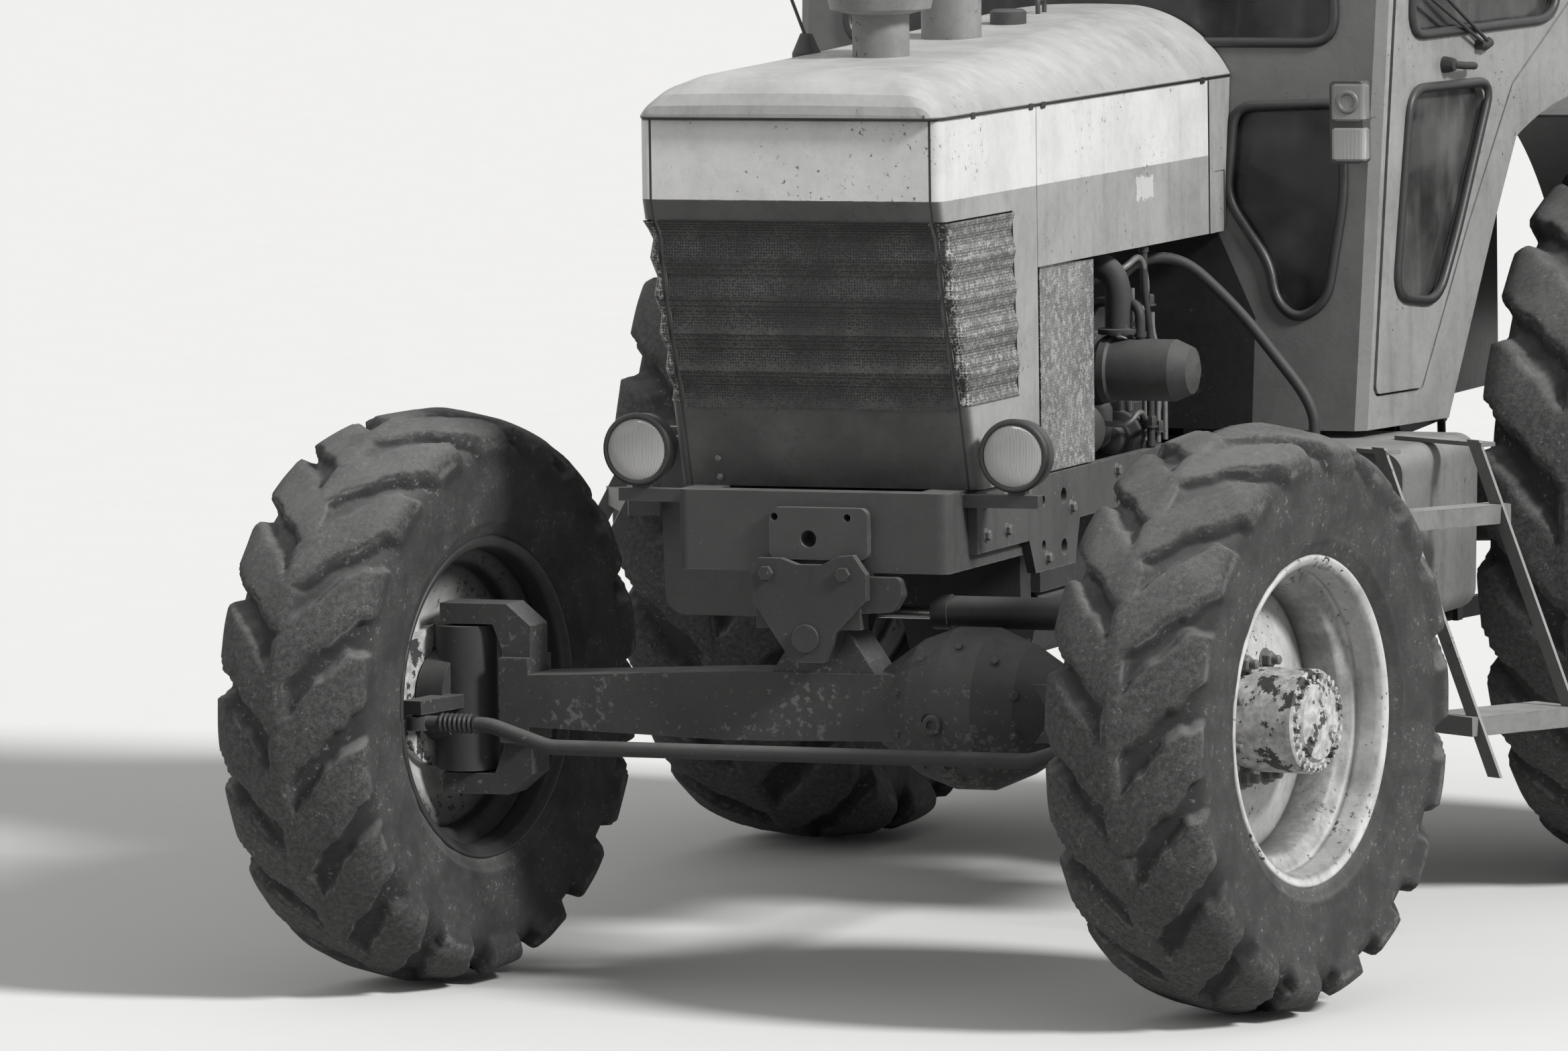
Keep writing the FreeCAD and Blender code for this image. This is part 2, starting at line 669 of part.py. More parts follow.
def hood_fittings():
    boot = revolve([(0, 0), (0, 34), (24, 34), (70, 14), (70, 0)], (-230, 470, 2142), (0, 0, 1))
    rod = cylinder((-230, 470, 2200), (-0.35, -0.1, 1), 4, 560)
    cap = revolve([(0, 0), (0, 44), (46, 44), (52, 36), (52, 0)], (15, 1180, 2186), (0, 0, 1))
    hook = pipe([(0, 1430, 2200), (0, 1430, 2250), (0, 1475, 2250), (0, 1475, 2200)], 6, 12)
    under = hood_solid()
    under.translate(V(0, 0, seat_gap))
    return group([piece.cut(under) for piece in (join([boot, rod]), cap, hook)])


def radiator():
    core = box(-300, 300, 430, 540, 1190, 1650)
    top = soft_prism([(-300, 1650), (300, 1650), (300, 1730), (-300, 1730)], 25, "y", 420, 550)
    shroud = box(-300, 300, 540, 620, 1200, 1640).cut(cylinder((0, 500, 1420), (0, 1, 0), 215, 200))
    return join([core, top, shroud])


def radiator_screens():
    top = hood_sill - seat_gap
    screen = prism([(450, hood_low), (450, top), (812, top - 8), (806, hood_low)], "x", 352, 358)
    frame = box(345, 358, 440, 452, hood_low, top)
    return both(join([screen, frame]))


fan_back = 640.0


def fan():
    hub = revolve([(0, 0), (0, 60), (40, 60), (40, 0)], (0, fan_back - 40, 1420), (0, 1, 0))
    blades = []
    for i in range(6):
        blade = box(-32, 32, 604, 612, 1470, 1625)
        blade.rotate(V(0, 608, 1420), V(0, 0, 1), 28)
        blade.rotate(V(0, 600, 1420), V(0, 1, 0), 60 * i)
        blades.append(blade)
    return join([hub] + blades)


def engine():
    block = box(-engine_half, engine_half, engine_front, engine_back, 860, 1260)
    sump = soft_prism([(-150, 700), (150, 700), (engine_half, 860), (-engine_half, 860)], 30,
                      "y", engine_front + 20, engine_back - 20)
    head = box(-160, 160, engine_front + 10, engine_back - 10, 1260, 1400)
    cover = soft_prism([(-110, 1400), (110, 1400), (95, 1500), (-95, 1500)], 25, "y",
                       engine_front + 40, engine_back - 40)
    timing = box(-165, 165, engine_front - 70, engine_front, 820, 1320)
    shaft = cylinder((0, fan_back + seat_gap, 1420), (0, 1, 0), 30, 205 - seat_gap)
    bracket = box(-70, 70, engine_front - 70, engine_front - 20, 1300, 1470)
    bell = revolve([(0, 0), (0, 230), (90, 240), (240, 235), (240, 0)], (0, engine_back, 935), (0, 1, 0))
    return join([block, sump, head, cover, timing, shaft, bracket, bell])


def canister():
    bowl = revolve([(0, 0), (0, 72), (12, 80), (30, 80), (36, 74), (190, 74), (232, 56), (246, 20), (246, 0)],
                   (300, 1020, 1385), (1, 0, 0))
    return join([bowl, box(160 + seat_gap, 304, 985, 1055, 1345, 1395)])


def hoses():
    # each route: points, radius, bend radius
    runs = [
        ([(160 + seat_gap, 1300, 1370), (330, 1300, 1370), (400, 1452, 1520), (690, 1452, 1240),
          (690, 1452, tank_top + seat_gap)], 12, 30),
        ([(350, 1190, hood_sill - seat_gap), (350, 1190, 1560), (350, 1230, 1453), (350, 1230, 1180 + seat_gap)],
         9, 22),
        ([(160 + seat_gap, 1120, 1375), (240, 1120, 1375), (240, 1120, 1540), (400, 1020, 1540),
          (400, 1020, 1459 + seat_gap)], 12, 28),
    ]
    return group([pipe(points, radius, bend) for points, radius, bend in runs])


drop_front = 1930.0


def gearbox():
    """Gearbox casting with the low drop box that drives the front axle."""
    body = soft_prism([(-190, 640), (190, 640), (225, 760), (225, 1040), (160, 1150), (-160, 1150),
                       (-225, 1040), (-225, 760)], 25, "y", engine_back + 240, housing_back)
    drop_box = box(150, 420, drop_front, drop_front + 210, 610, 770)
    pads = [box(s * 100, s * 180, 1950, 2050, 1120, floor_z + 0.5 - seat_gap) for s in (1, -1)]
    return body.fuse([drop_box] + pads)


def drive_shaft():
    start = case_y + 60 + snout_end + seat_gap
    return cylinder((case_x, start, axle_z), (0, 1, 0), 30, drop_front - seat_gap - start)


def rear_axle():
    body = soft_prism([(-250, housing_low), (250, housing_low), (270, 800), (270, 1060), (200, 1160), (-200, 1160),
                       (-270, 1060), (-270, 800)], 25, "y", housing_back, axle_back)
    trumpet = revolve([(200, 0), (200, 150), (330, 130), (560, 100), (800, 92), (820, 130), (850, 130),
                       (850, 0)], (0, wheelbase, rear_z), (1, 0, 0))
    lift = soft_prism([(-200, 1060), (200, 1060), (200, 1150), (-200, 1150)], 15, "y", axle_back, rock_y + 20)
    lift = lift.cut(cylinder((-300, rock_y, rock_z), (1, 0, 0), rock_r + bearing_gap, 600))
    lugs = [box(s * (link_x - 60), s * (link_x - 26), axle_back - 120, link_y + 34, 500, 700) for s in (1, -1)]
    stub = cylinder((0, axle_back - 10, 700), (0, 1, 0), 17.5, 100)
    pads = [box(s * 120, s * 200, wheelbase - 20, wheelbase + 80, 1120, floor_z + 0.5 - seat_gap) for s in (1, -1)]
    shafts = [cylinder((s * 840, wheelbase, rear_z), (s, 0, 0), rear_shaft_r, 130) for s in (1, -1)]
    bores = cylinder((-link_x, link_y, link_z), (1, 0, 0), link_pin_r + bearing_gap, 2 * link_x)
    return join([body, trumpet, mirrored(trumpet), lift, stub] + lugs + pads + shafts).cut(bores)


rear_disc = -32.0
rear_shaft_r = 45.0


def rear_hub():
    back = 856 - rear_tyre_x
    bore = rear_shaft_r + bearing_gap
    profile = [(back, bore), (back, 70), (rear_disc - 24, 80), (rear_disc - 24, 180), (rear_disc, 180),
               (rear_disc, 112), (rear_disc + 60, 104), (rear_disc + 70, 90), (rear_disc + 70, 0),
               (-160, 0), (-160, bore)]
    return revolve(profile, (0, 0, 0), (1, 0, 0))


def cab_side(y):
    return cab_half + cab_spread * (y - cab_front)


def cab_ring(z, inset):
    """Plan outline of the cab at one height."""
    front = cab_front + cab_lean * (z - floor_z) + inset
    back = cab_back - inset
    wide = cab_side(cab_wide_y) - inset
    half = [(cab_side(front) - inset - corner, front), (cab_side(front + corner) - inset, front + corner),
            (wide, cab_wide_y), (wide, back - 90), (wide - 90, back)]
    points = [V(x, y, z) for x, y in half] + [V(-x, y, z) for x, y in reversed(half)]
    return Part.makePolygon(points + points[:1])


def cab_skin(inset, thick):
    outer = Part.makeLoft([cab_ring(floor_z, inset), cab_ring(roof_z, inset)], True, True)
    inner = Part.makeLoft([cab_ring(floor_z - 2, inset + thick), cab_ring(roof_z + 2, inset + thick)], True, True)
    return outer.cut(inner)


window_round = 55.0
low_window_round = 40.0
door_round = 20.0
door_seal = 8.0                 # more room at the front edge, whose inner corner swings forward
# outlines in side view, Y and Z
door_line = [(1730, 1275), (1851, 2232), (1924, 2800), (2776, 2800), (2776, 2205), (2450, 2000),
             (2380, 1900), (2215, 1665), (2048, 1400), (1970, 1275)]
hinge_y = 2788.0
hinge_out = 14.0                # hinge line outside the wall
hinge_zs = (2330.0, 2640.0)
door_low_window = [(1836, 1505), (1922, 2010), (2340, 2010), (2150, 1640), (2050, 1480)]
door_high_window = [(1925, 2140), (1985, 2735), (2700, 2735), (2690, 2200), (2640, 2150)]
quarter_window = [(2840, 2190), (2850, 2735), (3110, 2735), (3110, 2190)]
# outlines in front view, X and Z
front_low_window = [(385, 1974), (664, 1984), (674, 1752), (640, 1504), (566, 1456), (506, 1502),
                    (489, 1593), (373, 1750)]
windscreen = [(-640, 2130), (640, 2130), (600, 2740), (-600, 2740)]
rear_window = [(-640, 2160), (640, 2160), (620, 2740), (-620, 2740)]
arch_line = [(2103, floor_z - 10), (2357, 1665), (2470, 1863)]
arch_start = arch_line[-1][0]


def rounded_face(points, radius, gap=0.0):
    """Flat face in X and Y from an outline, moved outward by a gap, its corners turned to arcs."""
    corners = [V(a, b, 0) for a, b in points]
    count = len(corners)
    edges = []
    ends = []
    for i, corner in enumerate(corners):
        back = (corners[i - 1] - corner).normalize()
        ahead = (corners[(i + 1) % count] - corner).normalize()
        half = back.getAngle(ahead) / 2
        reach = radius / math.tan(half)
        middle = corner + (back + ahead).normalize() * (radius / math.sin(half) - radius)
        ends.append((corner + back * reach, middle, corner + ahead * reach))
    for i, (first, middle, last) in enumerate(ends):
        edges.append(Part.Arc(first, middle, last).toShape())
        edges.append(Part.makeLine(last, ends[(i + 1) % count][0]))
    wire = Part.Wire(edges)
    if gap:
        wire = wire.makeOffset2D(gap, 0)
    return Part.Face(wire)


def upright(face, axis, low, high):
    """Stands a flat face up across X or Y and extrudes it from low to high."""
    shape = face.copy()
    if axis == "x":
        shape.rotate(V(0, 0, 0), V(1, 1, 1), 120)
        shape.translate(V(low, 0, 0))
        return shape.extrude(V(high - low, 0, 0))
    shape.rotate(V(0, 0, 0), V(1, 0, 0), 90)
    shape.translate(V(0, low, 0))
    return shape.extrude(V(0, high - low, 0))


def side_cut(points, gap=0.0, left=1, radius=window_round):
    face = rounded_face(points, radius, gap)
    return upright(face, "x", left * 500, left * 1300)


def other_side(points):
    return [(-x, z) for x, z in reversed(points)]


def front_cut(points, gap=0.0, low=1600, high=2300, radius=window_round):
    return upright(rounded_face(points, radius, gap), "y", low, high)


def arch_solid(x0, x1, radius, shift):
    """The wheel's room: behind a slanted line, then under an arc."""
    line = [(y + shift, z) for y, z in arch_line]
    front = prism(line + [(3600, line[-1][1]), (3600, line[0][1])], "x", x0, x1)
    arc = cylinder((x0, wheelbase, rear_z), (1, 0, 0), radius, x1 - x0)
    arc = arc.common(box(x0, x1, arch_start + shift, 3600, floor_z - 10, 2100))
    return front.fuse(arc)


def arch_space():
    space = arch_solid(tub_half - 26, 1400, arch_r, 0)
    return space.fuse(mirrored(space))


def cab_frame(skin_shape):
    body = skin_shape.cut(arch_space())
    cuts = []
    for left in (1, -1):
        cuts.append(side_cut(door_line, door_gap, left, door_round))
        cuts.append(side_cut(quarter_window, 0, left))
    for points in (front_low_window, other_side(front_low_window)):
        cuts.append(front_cut(points, 0, 1600, 1850, low_window_round))
    cuts += [front_cut(windscreen), front_cut(rear_window, 0, 3100, 3400)]
    for cut in cuts:
        body = body.cut(cut)
    hinges = frame_hinges()
    return body.fuse(hinges + [mirrored(h) for h in hinges])


def hinge_x():
    return cab_side(hinge_y) + hinge_out


def hinge_leaf(y0, y1, low, high, skin_gap):
    """Plate on the wall's outer face, out to the hinge line."""
    x = hinge_x()
    outline = [(cab_side(y0) - skin_gap, y0), (cab_side(y1) - skin_gap, y1), (x, hinge_y), (x - 6, y0)]
    if y1 > hinge_y:
        outline = [(x - hinge_out - skin_gap, hinge_y + 2), (cab_side(cab_wide_y) - skin_gap, y1),
                   (cab_side(cab_wide_y) + 6, y1), (x, hinge_y)]
    return prism(outline, "z", low, high)


def frame_hinges():
    pieces = []
    for z in hinge_zs:
        x = hinge_x()
        barrel = cylinder((x, hinge_y, z - 44), (0, 0, 1), 12, 43.5)
        pin = cylinder((x, hinge_y, z - 44), (0, 0, 1), 7, 92)
        leaf = hinge_leaf(hinge_y, hinge_y + 60, z - 44, z - 0.5, 2)
        pieces.append(join([barrel, pin, leaf]))
    return pieces


def door_hinges():
    pieces = []
    for z in hinge_zs:
        x = hinge_x()
        barrel = cylinder((x, hinge_y, z), (0, 0, 1), 12, 44)
        leaf = hinge_leaf(hinge_y - 76, hinge_y - 14, z, z + 44, 2)
        bore = cylinder((x, hinge_y, z - 5), (0, 0, 1), 7 + bearing_gap, 60)
        pieces.append(join([barrel, leaf]).cut(bore))
    return pieces


def doors(skin_shape):
    line = [(y + door_seal, z) for y, z in door_line[:3]] + door_line[3:]
    panel = skin_shape.common(side_cut(line, 0, 1, door_round))
    panel = panel.cut(group([side_cut(door_low_window), side_cut(door_high_window)]))
    left = join([panel] + door_hinges())
    return left, mirrored(left)


def cab_glass():
    """Panes in the middle of the walls."""
    sheet = cab_skin((wall - glass) / 2, glass)
    door_panes = []
    for left in (1, -1):
        low = sheet.common(side_cut(door_low_window, -0.3, left))
        high = sheet.common(side_cut(door_high_window, -0.3, left))
        door_panes.append(group([low, high]))
    fixed = [sheet.common(side_cut(quarter_window, -0.3, left)) for left in (1, -1)]
    for points in (front_low_window, other_side(front_low_window)):
        fixed.append(sheet.common(front_cut(points, -0.3, 1600, 1850, low_window_round)))
    fixed.append(sheet.common(front_cut(windscreen, -0.3)))
    fixed.append(sheet.common(front_cut(rear_window, -0.3, 3100, 3400)))
    return group(fixed), door_panes


def cab_floor():
    """Floor plate, and the walls that close the wheels' room off inside."""
    inset = wall + seat_gap
    inside = Part.makeLoft([cab_ring(floor_z + 0.5, inset), cab_ring(roof_z, inset)], True, True)
    plate = box(-1200, 1200, 1500, 3400, floor_z + 0.5, floor_z + floor_plate)
    space = arch_solid(tub_half, 1400, arch_r, 0)
    plate = plate.common(inside).cut(space.fuse(mirrored(space)))
    panel = box(tub_half - 20, tub_half, 2000, cab_back - wall - 1, floor_z + 20, 2000)
    panel = panel.common(arch_solid(tub_half - 40, tub_half + 10, arch_r - 12, 0))
    lean = arch_solid(tub_half - 20, 1200, arch_r - 12, -24).cut(arch_solid(tub_half - 30, 1210, arch_r + 40, 0))
    lean = lean.common(box(0, 1200, 1900, arch_start, floor_z + 10, 1860)).common(inside)
    return join([plate, panel, mirrored(panel), lean, mirrored(lean)])


def fenders():
    outer = cylinder((tub_half - 24, wheelbase, rear_z), (1, 0, 0), arch_r - seat_gap, 1400 - tub_half + 24)
    inner = cylinder((tub_half - 30, wheelbase, rear_z), (1, 0, 0), arch_r - 8, 1400)
    lip = cylinder((1380, wheelbase, rear_z), (1, 0, 0), arch_r - seat_gap, 10)
    lip = lip.cut(cylinder((1370, wheelbase, rear_z), (1, 0, 0), arch_r - 70, 60))
    arc = join([outer.cut(inner), lip])
    centre = (wheelbase, rear_z)
    reach = 1500
    front = math.radians(fender_front)
    back = math.radians(22)
    wedge = prism([centre, (wheelbase + reach * math.cos(front), rear_z + reach * math.sin(front)),
                   (wheelbase + 300, rear_z + reach + 300),
                   (wheelbase + reach * math.cos(back), rear_z + reach * math.sin(back))], "x", 400, 1600)
    left = arc.common(wedge)
    return both(left)


def roof():
    low = cab_ring(roof_z + seat_gap, -25)
    mid = cab_ring(roof_z + 70, -45)
    top = cab_ring(roof_z + 140, 60)
    return Part.makeLoft([low, mid, top], True, True)


def seat():
    cushion = soft_prism([(-250, 1560), (250, 1560), (250, 1660), (-250, 1660)], 30, "y", 2500, 2930)
    back = prism([(2850, 1640), (2930, 1640), (3010, 2150), (2930, 2150)], "x", -230, 230)
    return join([cushion, back])


def seat_base():
    return box(-170, 170, 2560, 2860, floor_z + floor_plate + 0.5, 1559.5)


def dash():
    return prism([(1870, floor_z + floor_plate + 0.5), (2120, floor_z + floor_plate + 0.5), (2060, 1700), (2130, 1960),
                  (1890, 2040), (1870, 1700)], "x", -260, 260)


def steering():
    axis = V(0, 0.5, 0.866)
    start = V(0, 2120, 1900)
    column = cylinder((start.x, start.y, start.z), (axis.x, axis.y, axis.z), 28, 190)
    centre = start + axis * 200
    section = [(15 * math.cos(math.pi * i / 4), 190 + 15 * math.sin(math.pi * i / 4)) for i in range(8)]
    ring = revolve(section, centre, axis)
    hub = cylinder((centre.x, centre.y, centre.z), (axis.x, axis.y, axis.z), 36, 22)
    spokes = []
    for i in range(3):
        spoke = cylinder((centre.x, centre.y, centre.z), (1, 0, 0), 9, 188)
        spoke.rotate(centre, axis, 120 * i + 90)
        spokes.append(spoke)
    return column, join([hub, ring] + spokes)


tank_top = 1172.0


def fuel_tanks():
    return soft_prism([(425, 740), (950, 740), (960, tank_top), (425, tank_top)], 55, "y", 1310, 1900)


step_along = V(0.52, 0.855, 0).normalize()
step_out = V(0.855, -0.52, 0).normalize()
step_top = V(1090, 1500, 1188)
step_width = 300.0
step_slope = 0.543


def step_point(along, drop, out=0.0):
    return step_top - step_along * along + step_out * (drop * step_slope + out) - V(0, 0, drop)


def slab(corners, travel):
    return Part.Face(Part.makePolygon(corners + corners[:1])).extrude(travel)


def steps():
    """Two treads hung from flat stiles, set askew to clear the front wheel."""
    made = []
    thick = step_along * 8
    for along in (0, step_width):
        corners = [step_point(along, 0), step_point(along, 760), step_point(along, 760, -45), step_point(along, 0, -45)]
        made.append(slab(corners, thick))
        start = step_point(along, step_top.z - tank_top - seat_gap)
        end = start - step_out * (start.x - 860) * 1.35
        strap = [start, end, end + V(0, 0, 10), start + V(0, 0, 10)]
        made.append(slab(strap, step_along * 45))
    for drop, depth in ((150, 78), (620, 170)):
        start = step_point(step_width + 20, drop, -depth)
        corners = [start, start + step_out * depth, start + step_out * depth - V(0, 0, 46), start - V(0, 0, 46)]
        made.append(slab(corners, step_along * (step_width + 50)))
    return join(made)


lamp_r = 84.0
lamp_z = 1268.0


def lamps():
    """Round head lamp: bowl, rim and domed lens."""
    profile = [(0, 0), (0, 50), (22, lamp_r - 3), (60, lamp_r - 3), (62, lamp_r), (74, lamp_r), (76, lamp_r - 10),
               (84, lamp_r - 36), (88, 0)]
    return revolve(profile, (466, 30, lamp_z), (0, -1, 0))


def lamp_bracket():
    bar = box(300, 520, -30, 0, 1146, 1176)
    post = box(446, 486, -28, 4, 1150, lamp_z - lamp_r + 3 - seat_gap)
    return bar.fuse(post)


def corner_lamps():
    body = soft_prism([(668, 1843), (752, 1843), (752, 2043), (668, 2043)], 12, "y", 1655, 1715)
    stem = box(690, 730, 1700, 1800, 1900, 1990).cut(cab_front_cut(seat_gap))
    return body.fuse(stem)


def drawbar():
    front = wheelbase + 40
    end = axle_back + 450
    bar = prism([(-50, front), (50, front), (60, end), (-60, end)], "z", 440, 480)
    hole = cylinder((0, end - 50, 400), (0, 0, 1), 16.5, 120)
    hanger = box(-160, 160, axle_back - 110, axle_back - 10, 470, housing_low - seat_gap)
    return join([bar, hanger]).cut(hole)


def lift_arms():
    shaft = cylinder((-330, rock_y, rock_z), (1, 0, 0), rock_r, 660)
    arm = prism([(rock_y - 40, rock_z - 40), (rock_y + lift_arm + 26, rock_z - 24),
                 (rock_y + lift_arm + 26, rock_z + 24), (rock_y - 40, rock_z + 40)], "x", 292, 320)
    pin = cylinder((280, rock_y + lift_arm, rock_z), (1, 0, 0), 11, 70)
    left = join([arm, pin])
    return join([shaft, left, mirrored(left)])


def lift_point_y():
    return link_y + link_lift


def lift_rods():
    top = V(336, rock_y + lift_arm, rock_z)
    low = V(336, lift_point_y(), link_z)
    eye = cylinder((322, top.y, top.z), (1, 0, 0), 22, 26)
    bar = cylinder((top.x, top.y, top.z), (low.x - top.x, low.y - top.y, low.z - top.z), 11,
                   (low - top).Length - 52)
    hole = cylinder((300, top.y, top.z), (1, 0, 0), 11 + bearing_gap, 80)
    fork = box(296, 376, low.y - 24, low.y + 24, low.z + 46, low.z + 76)
    ears = [box(x, x + 14, low.y - 22, low.y + 22, low.z - 24, low.z + 50) for x in (296, 362)]
    left = join([eye, bar, fork] + ears).cut(hole)
    return both(left)


def lower_links():
    end = V(link_x + link_spread, link_y + link_length, link_z)
    bar = prism([(link_x - 12, link_y), (link_x + 12, link_y), (336 + 14, lift_point_y()),
                 (end.x + 12, end.y), (end.x - 12, end.y), (336 - 14, lift_point_y())], "z",
                link_z - 26, link_z + 26)
    eye = cylinder((end.x - 22, end.y, end.z), (1, 0, 0), 44, 44)
    hole = cylinder((end.x - 40, end.y, end.z), (1, 0, 0), 14.3, 80)
    pin = cylinder((link_x - 60, link_y, link_z), (1, 0, 0), link_pin_r, 85)
    left = join([bar, eye, pin]).cut(hole)
    return both(left)


nodes = {}


def build():
    front_tyre = tyre(front_size)
    front_rim = rim(front_size, front_disc, front_drum_r + seat_gap, front_bolt_r, 8)
    hub = front_hub()
    for side, name in ((1, "left"), (-1, "right")):
        nodes["tyre_front_" + name] = to_wheel_place(front_tyre, side)
        nodes["rim_front_" + name] = to_wheel_place(front_rim, side)
        nodes["hub_front_" + name] = to_wheel_place(hub, side)
        nodes["knuckle_" + name] = to_wheel_place(knuckle(side > 0), side)
    rear_tyre = tyre(rear_size)
    rear_rim = rim(rear_size, rear_disc, 112.0, 152.0, 8)
    rear_wheel = rear_rim.fuse(rear_hub())
    for side, name in ((1, "left"), (-1, "right")):
        for kind, shape in (("tyre", rear_tyre), ("rim", rear_wheel)):
            copy = shape if side > 0 else mirrored(shape)
            copy = copy.copy()
            copy.translate(V(side * rear_tyre_x, wheelbase, rear_z))
            nodes[kind + "_rear_" + name] = copy
    nodes["front_axle"] = axle_beam()
    nodes["tie_rod"] = tie_rod()
    nodes["steering_cylinder"], nodes["steering_cylinder_rod"] = steering_ram()
    nodes["front_bolster"] = bolster()
    nodes["pivot_bracket"] = pivot_bracket()
    nodes["frame_rails"] = rails()
    nodes["nose_shell"] = nose_shell()
    nodes["front_grille"] = front_grille()
    nodes["side_grilles"] = group([side_grilles(), radiator_screens()])
    nodes["hood_top"] = hood_top()
    nodes["hood_sides"] = hood_sides()
    nodes["hood_rear_band"] = rear_band()
    nodes["pre_cleaner"] = pre_cleaner()
    nodes["exhaust"] = exhaust()
    nodes["hood_fittings"] = hood_fittings()
    nodes["radiator"] = radiator()
    nodes["fan"] = fan()
    nodes["engine"] = engine()
    nodes["canister"] = canister()
    nodes["hoses"] = hoses()
    nodes["gearbox"] = gearbox()
    nodes["drive_shaft"] = drive_shaft()
    nodes["rear_axle"] = rear_axle()
    shell = cab_skin(0, wall)
    nodes["cab_frame"] = cab_frame(shell)
    nodes["door_left"], nodes["door_right"] = doors(shell)
    nodes["cab_glass"], panes = cab_glass()
    nodes["door_glass_left"], nodes["door_glass_right"] = panes
    nodes["cab_floor"] = cab_floor()
    nodes["cab_roof"] = roof()
    nodes["fenders"] = fenders()
    nodes["seat"] = seat()
    column, wheel = steering()
    nodes["cab_console"] = group([dash().fuse(column), seat_base()])
    nodes["steering_wheel"] = wheel
    nodes["fuel_tanks"] = both(fuel_tanks())
    nodes["steps"] = both(steps())
    nodes["lamps"] = group([both(lamps()), both(corner_lamps())])
    nodes["drawbar"] = drawbar()
    nodes["lift_arms"] = lift_arms()
    nodes["lift_rods"] = lift_rods()
    nodes["lower_links"] = lower_links()


def centre_y():
    """Middle of the footprint, from the foremost and rearmost pieces."""
    low = min(nodes[n].optimalBoundingBox().YMin for n in ("tyre_front_left", "tyre_front_right"))
    high = max(nodes[n].optimalBoundingBox().YMax for n in ("lower_links", "tyre_rear_left"))
    return (low + high) / 2


build()
middle = centre_y()
ground = min(nodes[n].optimalBoundingBox().ZMin for n in nodes if n.startswith("tyre"))
os.makedirs("parts", exist_ok=True)
for name, shape in nodes.items():
    shape = shape.copy()
    shape.translate(V(0, -middle, -ground))
    shape.exportStep("parts/" + name + ".step")
    if not shape.isValid():
        print("invalid", name)
    print(name, len(shape.Solids), round(shape.Volume / 1e6, 2))
print("middle", round(middle, 3), "ground", round(ground, 3))
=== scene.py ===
import json
import math
import bmesh
import bpy
import numpy as np
from mathutils import Matrix, Vector


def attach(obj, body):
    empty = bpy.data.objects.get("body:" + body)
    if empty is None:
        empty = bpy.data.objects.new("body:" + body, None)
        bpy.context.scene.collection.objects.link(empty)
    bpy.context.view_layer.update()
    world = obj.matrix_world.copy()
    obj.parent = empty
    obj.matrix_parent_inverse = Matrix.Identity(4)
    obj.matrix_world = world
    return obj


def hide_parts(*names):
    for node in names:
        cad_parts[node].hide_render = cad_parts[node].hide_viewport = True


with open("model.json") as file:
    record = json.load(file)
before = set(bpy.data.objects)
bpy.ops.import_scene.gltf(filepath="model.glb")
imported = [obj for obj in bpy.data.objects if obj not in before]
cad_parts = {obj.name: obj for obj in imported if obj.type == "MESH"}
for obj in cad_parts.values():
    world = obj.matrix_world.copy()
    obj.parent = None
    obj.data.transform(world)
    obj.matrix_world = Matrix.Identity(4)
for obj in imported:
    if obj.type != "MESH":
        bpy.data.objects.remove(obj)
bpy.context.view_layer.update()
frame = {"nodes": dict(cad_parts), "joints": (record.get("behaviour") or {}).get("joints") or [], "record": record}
nodes = frame["nodes"]
joints = {joint["name"]: joint for joint in frame["joints"]}

# The tractor's own drawing has its origin on the ground under the front axle's line.
kingpin = Vector(joints["steer_left"]["pos_m"])
kingpinHeight = 0.675
frontAxleY = kingpin.y
groundZ = kingpin.z - kingpinHeight


def at(x, y, z):
    return Vector((x, y + frontAxleY, z + groundZ))


# Shader helpers

def addNode(tree, kind, sockets=None, **settings):
    node = tree.nodes.new(kind)
    for name, value in settings.items():
        setattr(node, name, value)
    for key, value in (sockets or {}).items():
        if isinstance(value, bpy.types.NodeSocket):
            tree.links.new(value, node.inputs[key])
        else:
            node.inputs[key].default_value = value
    return node


def grey(level):
    return (level, level * 0.995, level * 0.98, 1.0)


def noise(tree, vector, scale, detail=6.0, rough=0.6):
    sockets = {"Vector": vector, "Scale": scale, "Detail": detail, "Roughness": rough}
    return addNode(tree, "ShaderNodeTexNoise", sockets).outputs["Fac"]


def stretched(tree, vector, scale):
    return addNode(tree, "ShaderNodeMapping", {"Vector": vector, "Scale": scale}).outputs["Vector"]


def step(tree, value, low, high):          # smooth step from 0 at low to 1 at high
    sockets = {"Value": value, "From Min": low, "From Max": high}
    return addNode(tree, "ShaderNodeMapRange", sockets, interpolation_type="SMOOTHSTEP").outputs["Result"]


def compute(tree, operation, first, second=0.0):
    return addNode(tree, "ShaderNodeMath", {0: first, 1: second}, operation=operation).outputs[0]


def times(tree, first, second):
    return compute(tree, "MULTIPLY", first, second)


def plus(tree, first, second):
    return compute(tree, "ADD", first, second)


def minus(tree, first, second):
    return compute(tree, "SUBTRACT", first, second)


def mix(tree, factor, first, second):
    return addNode(tree, "ShaderNodeMix", {0: factor, 6: first, 7: second}, data_type="RGBA").outputs[2]


def toned(tree, factor, tones):            # between two greys
    return mix(tree, factor, grey(tones[0]), grey(tones[1]))


def newGroup(name, inputs, outputs):
    group = bpy.data.node_groups.new(name, "ShaderNodeTree")
    for label, kind, value in inputs:
        socket = group.interface.new_socket(name=label, in_out="INPUT", socket_type=kind)
        if value is not None:
            socket.default_value = value
    for label, kind in outputs:
        group.interface.new_socket(name=label, in_out="OUTPUT", socket_type=kind)
    return group, group.nodes.new("NodeGroupInput").outputs, group.nodes.new("NodeGroupOutput").inputs


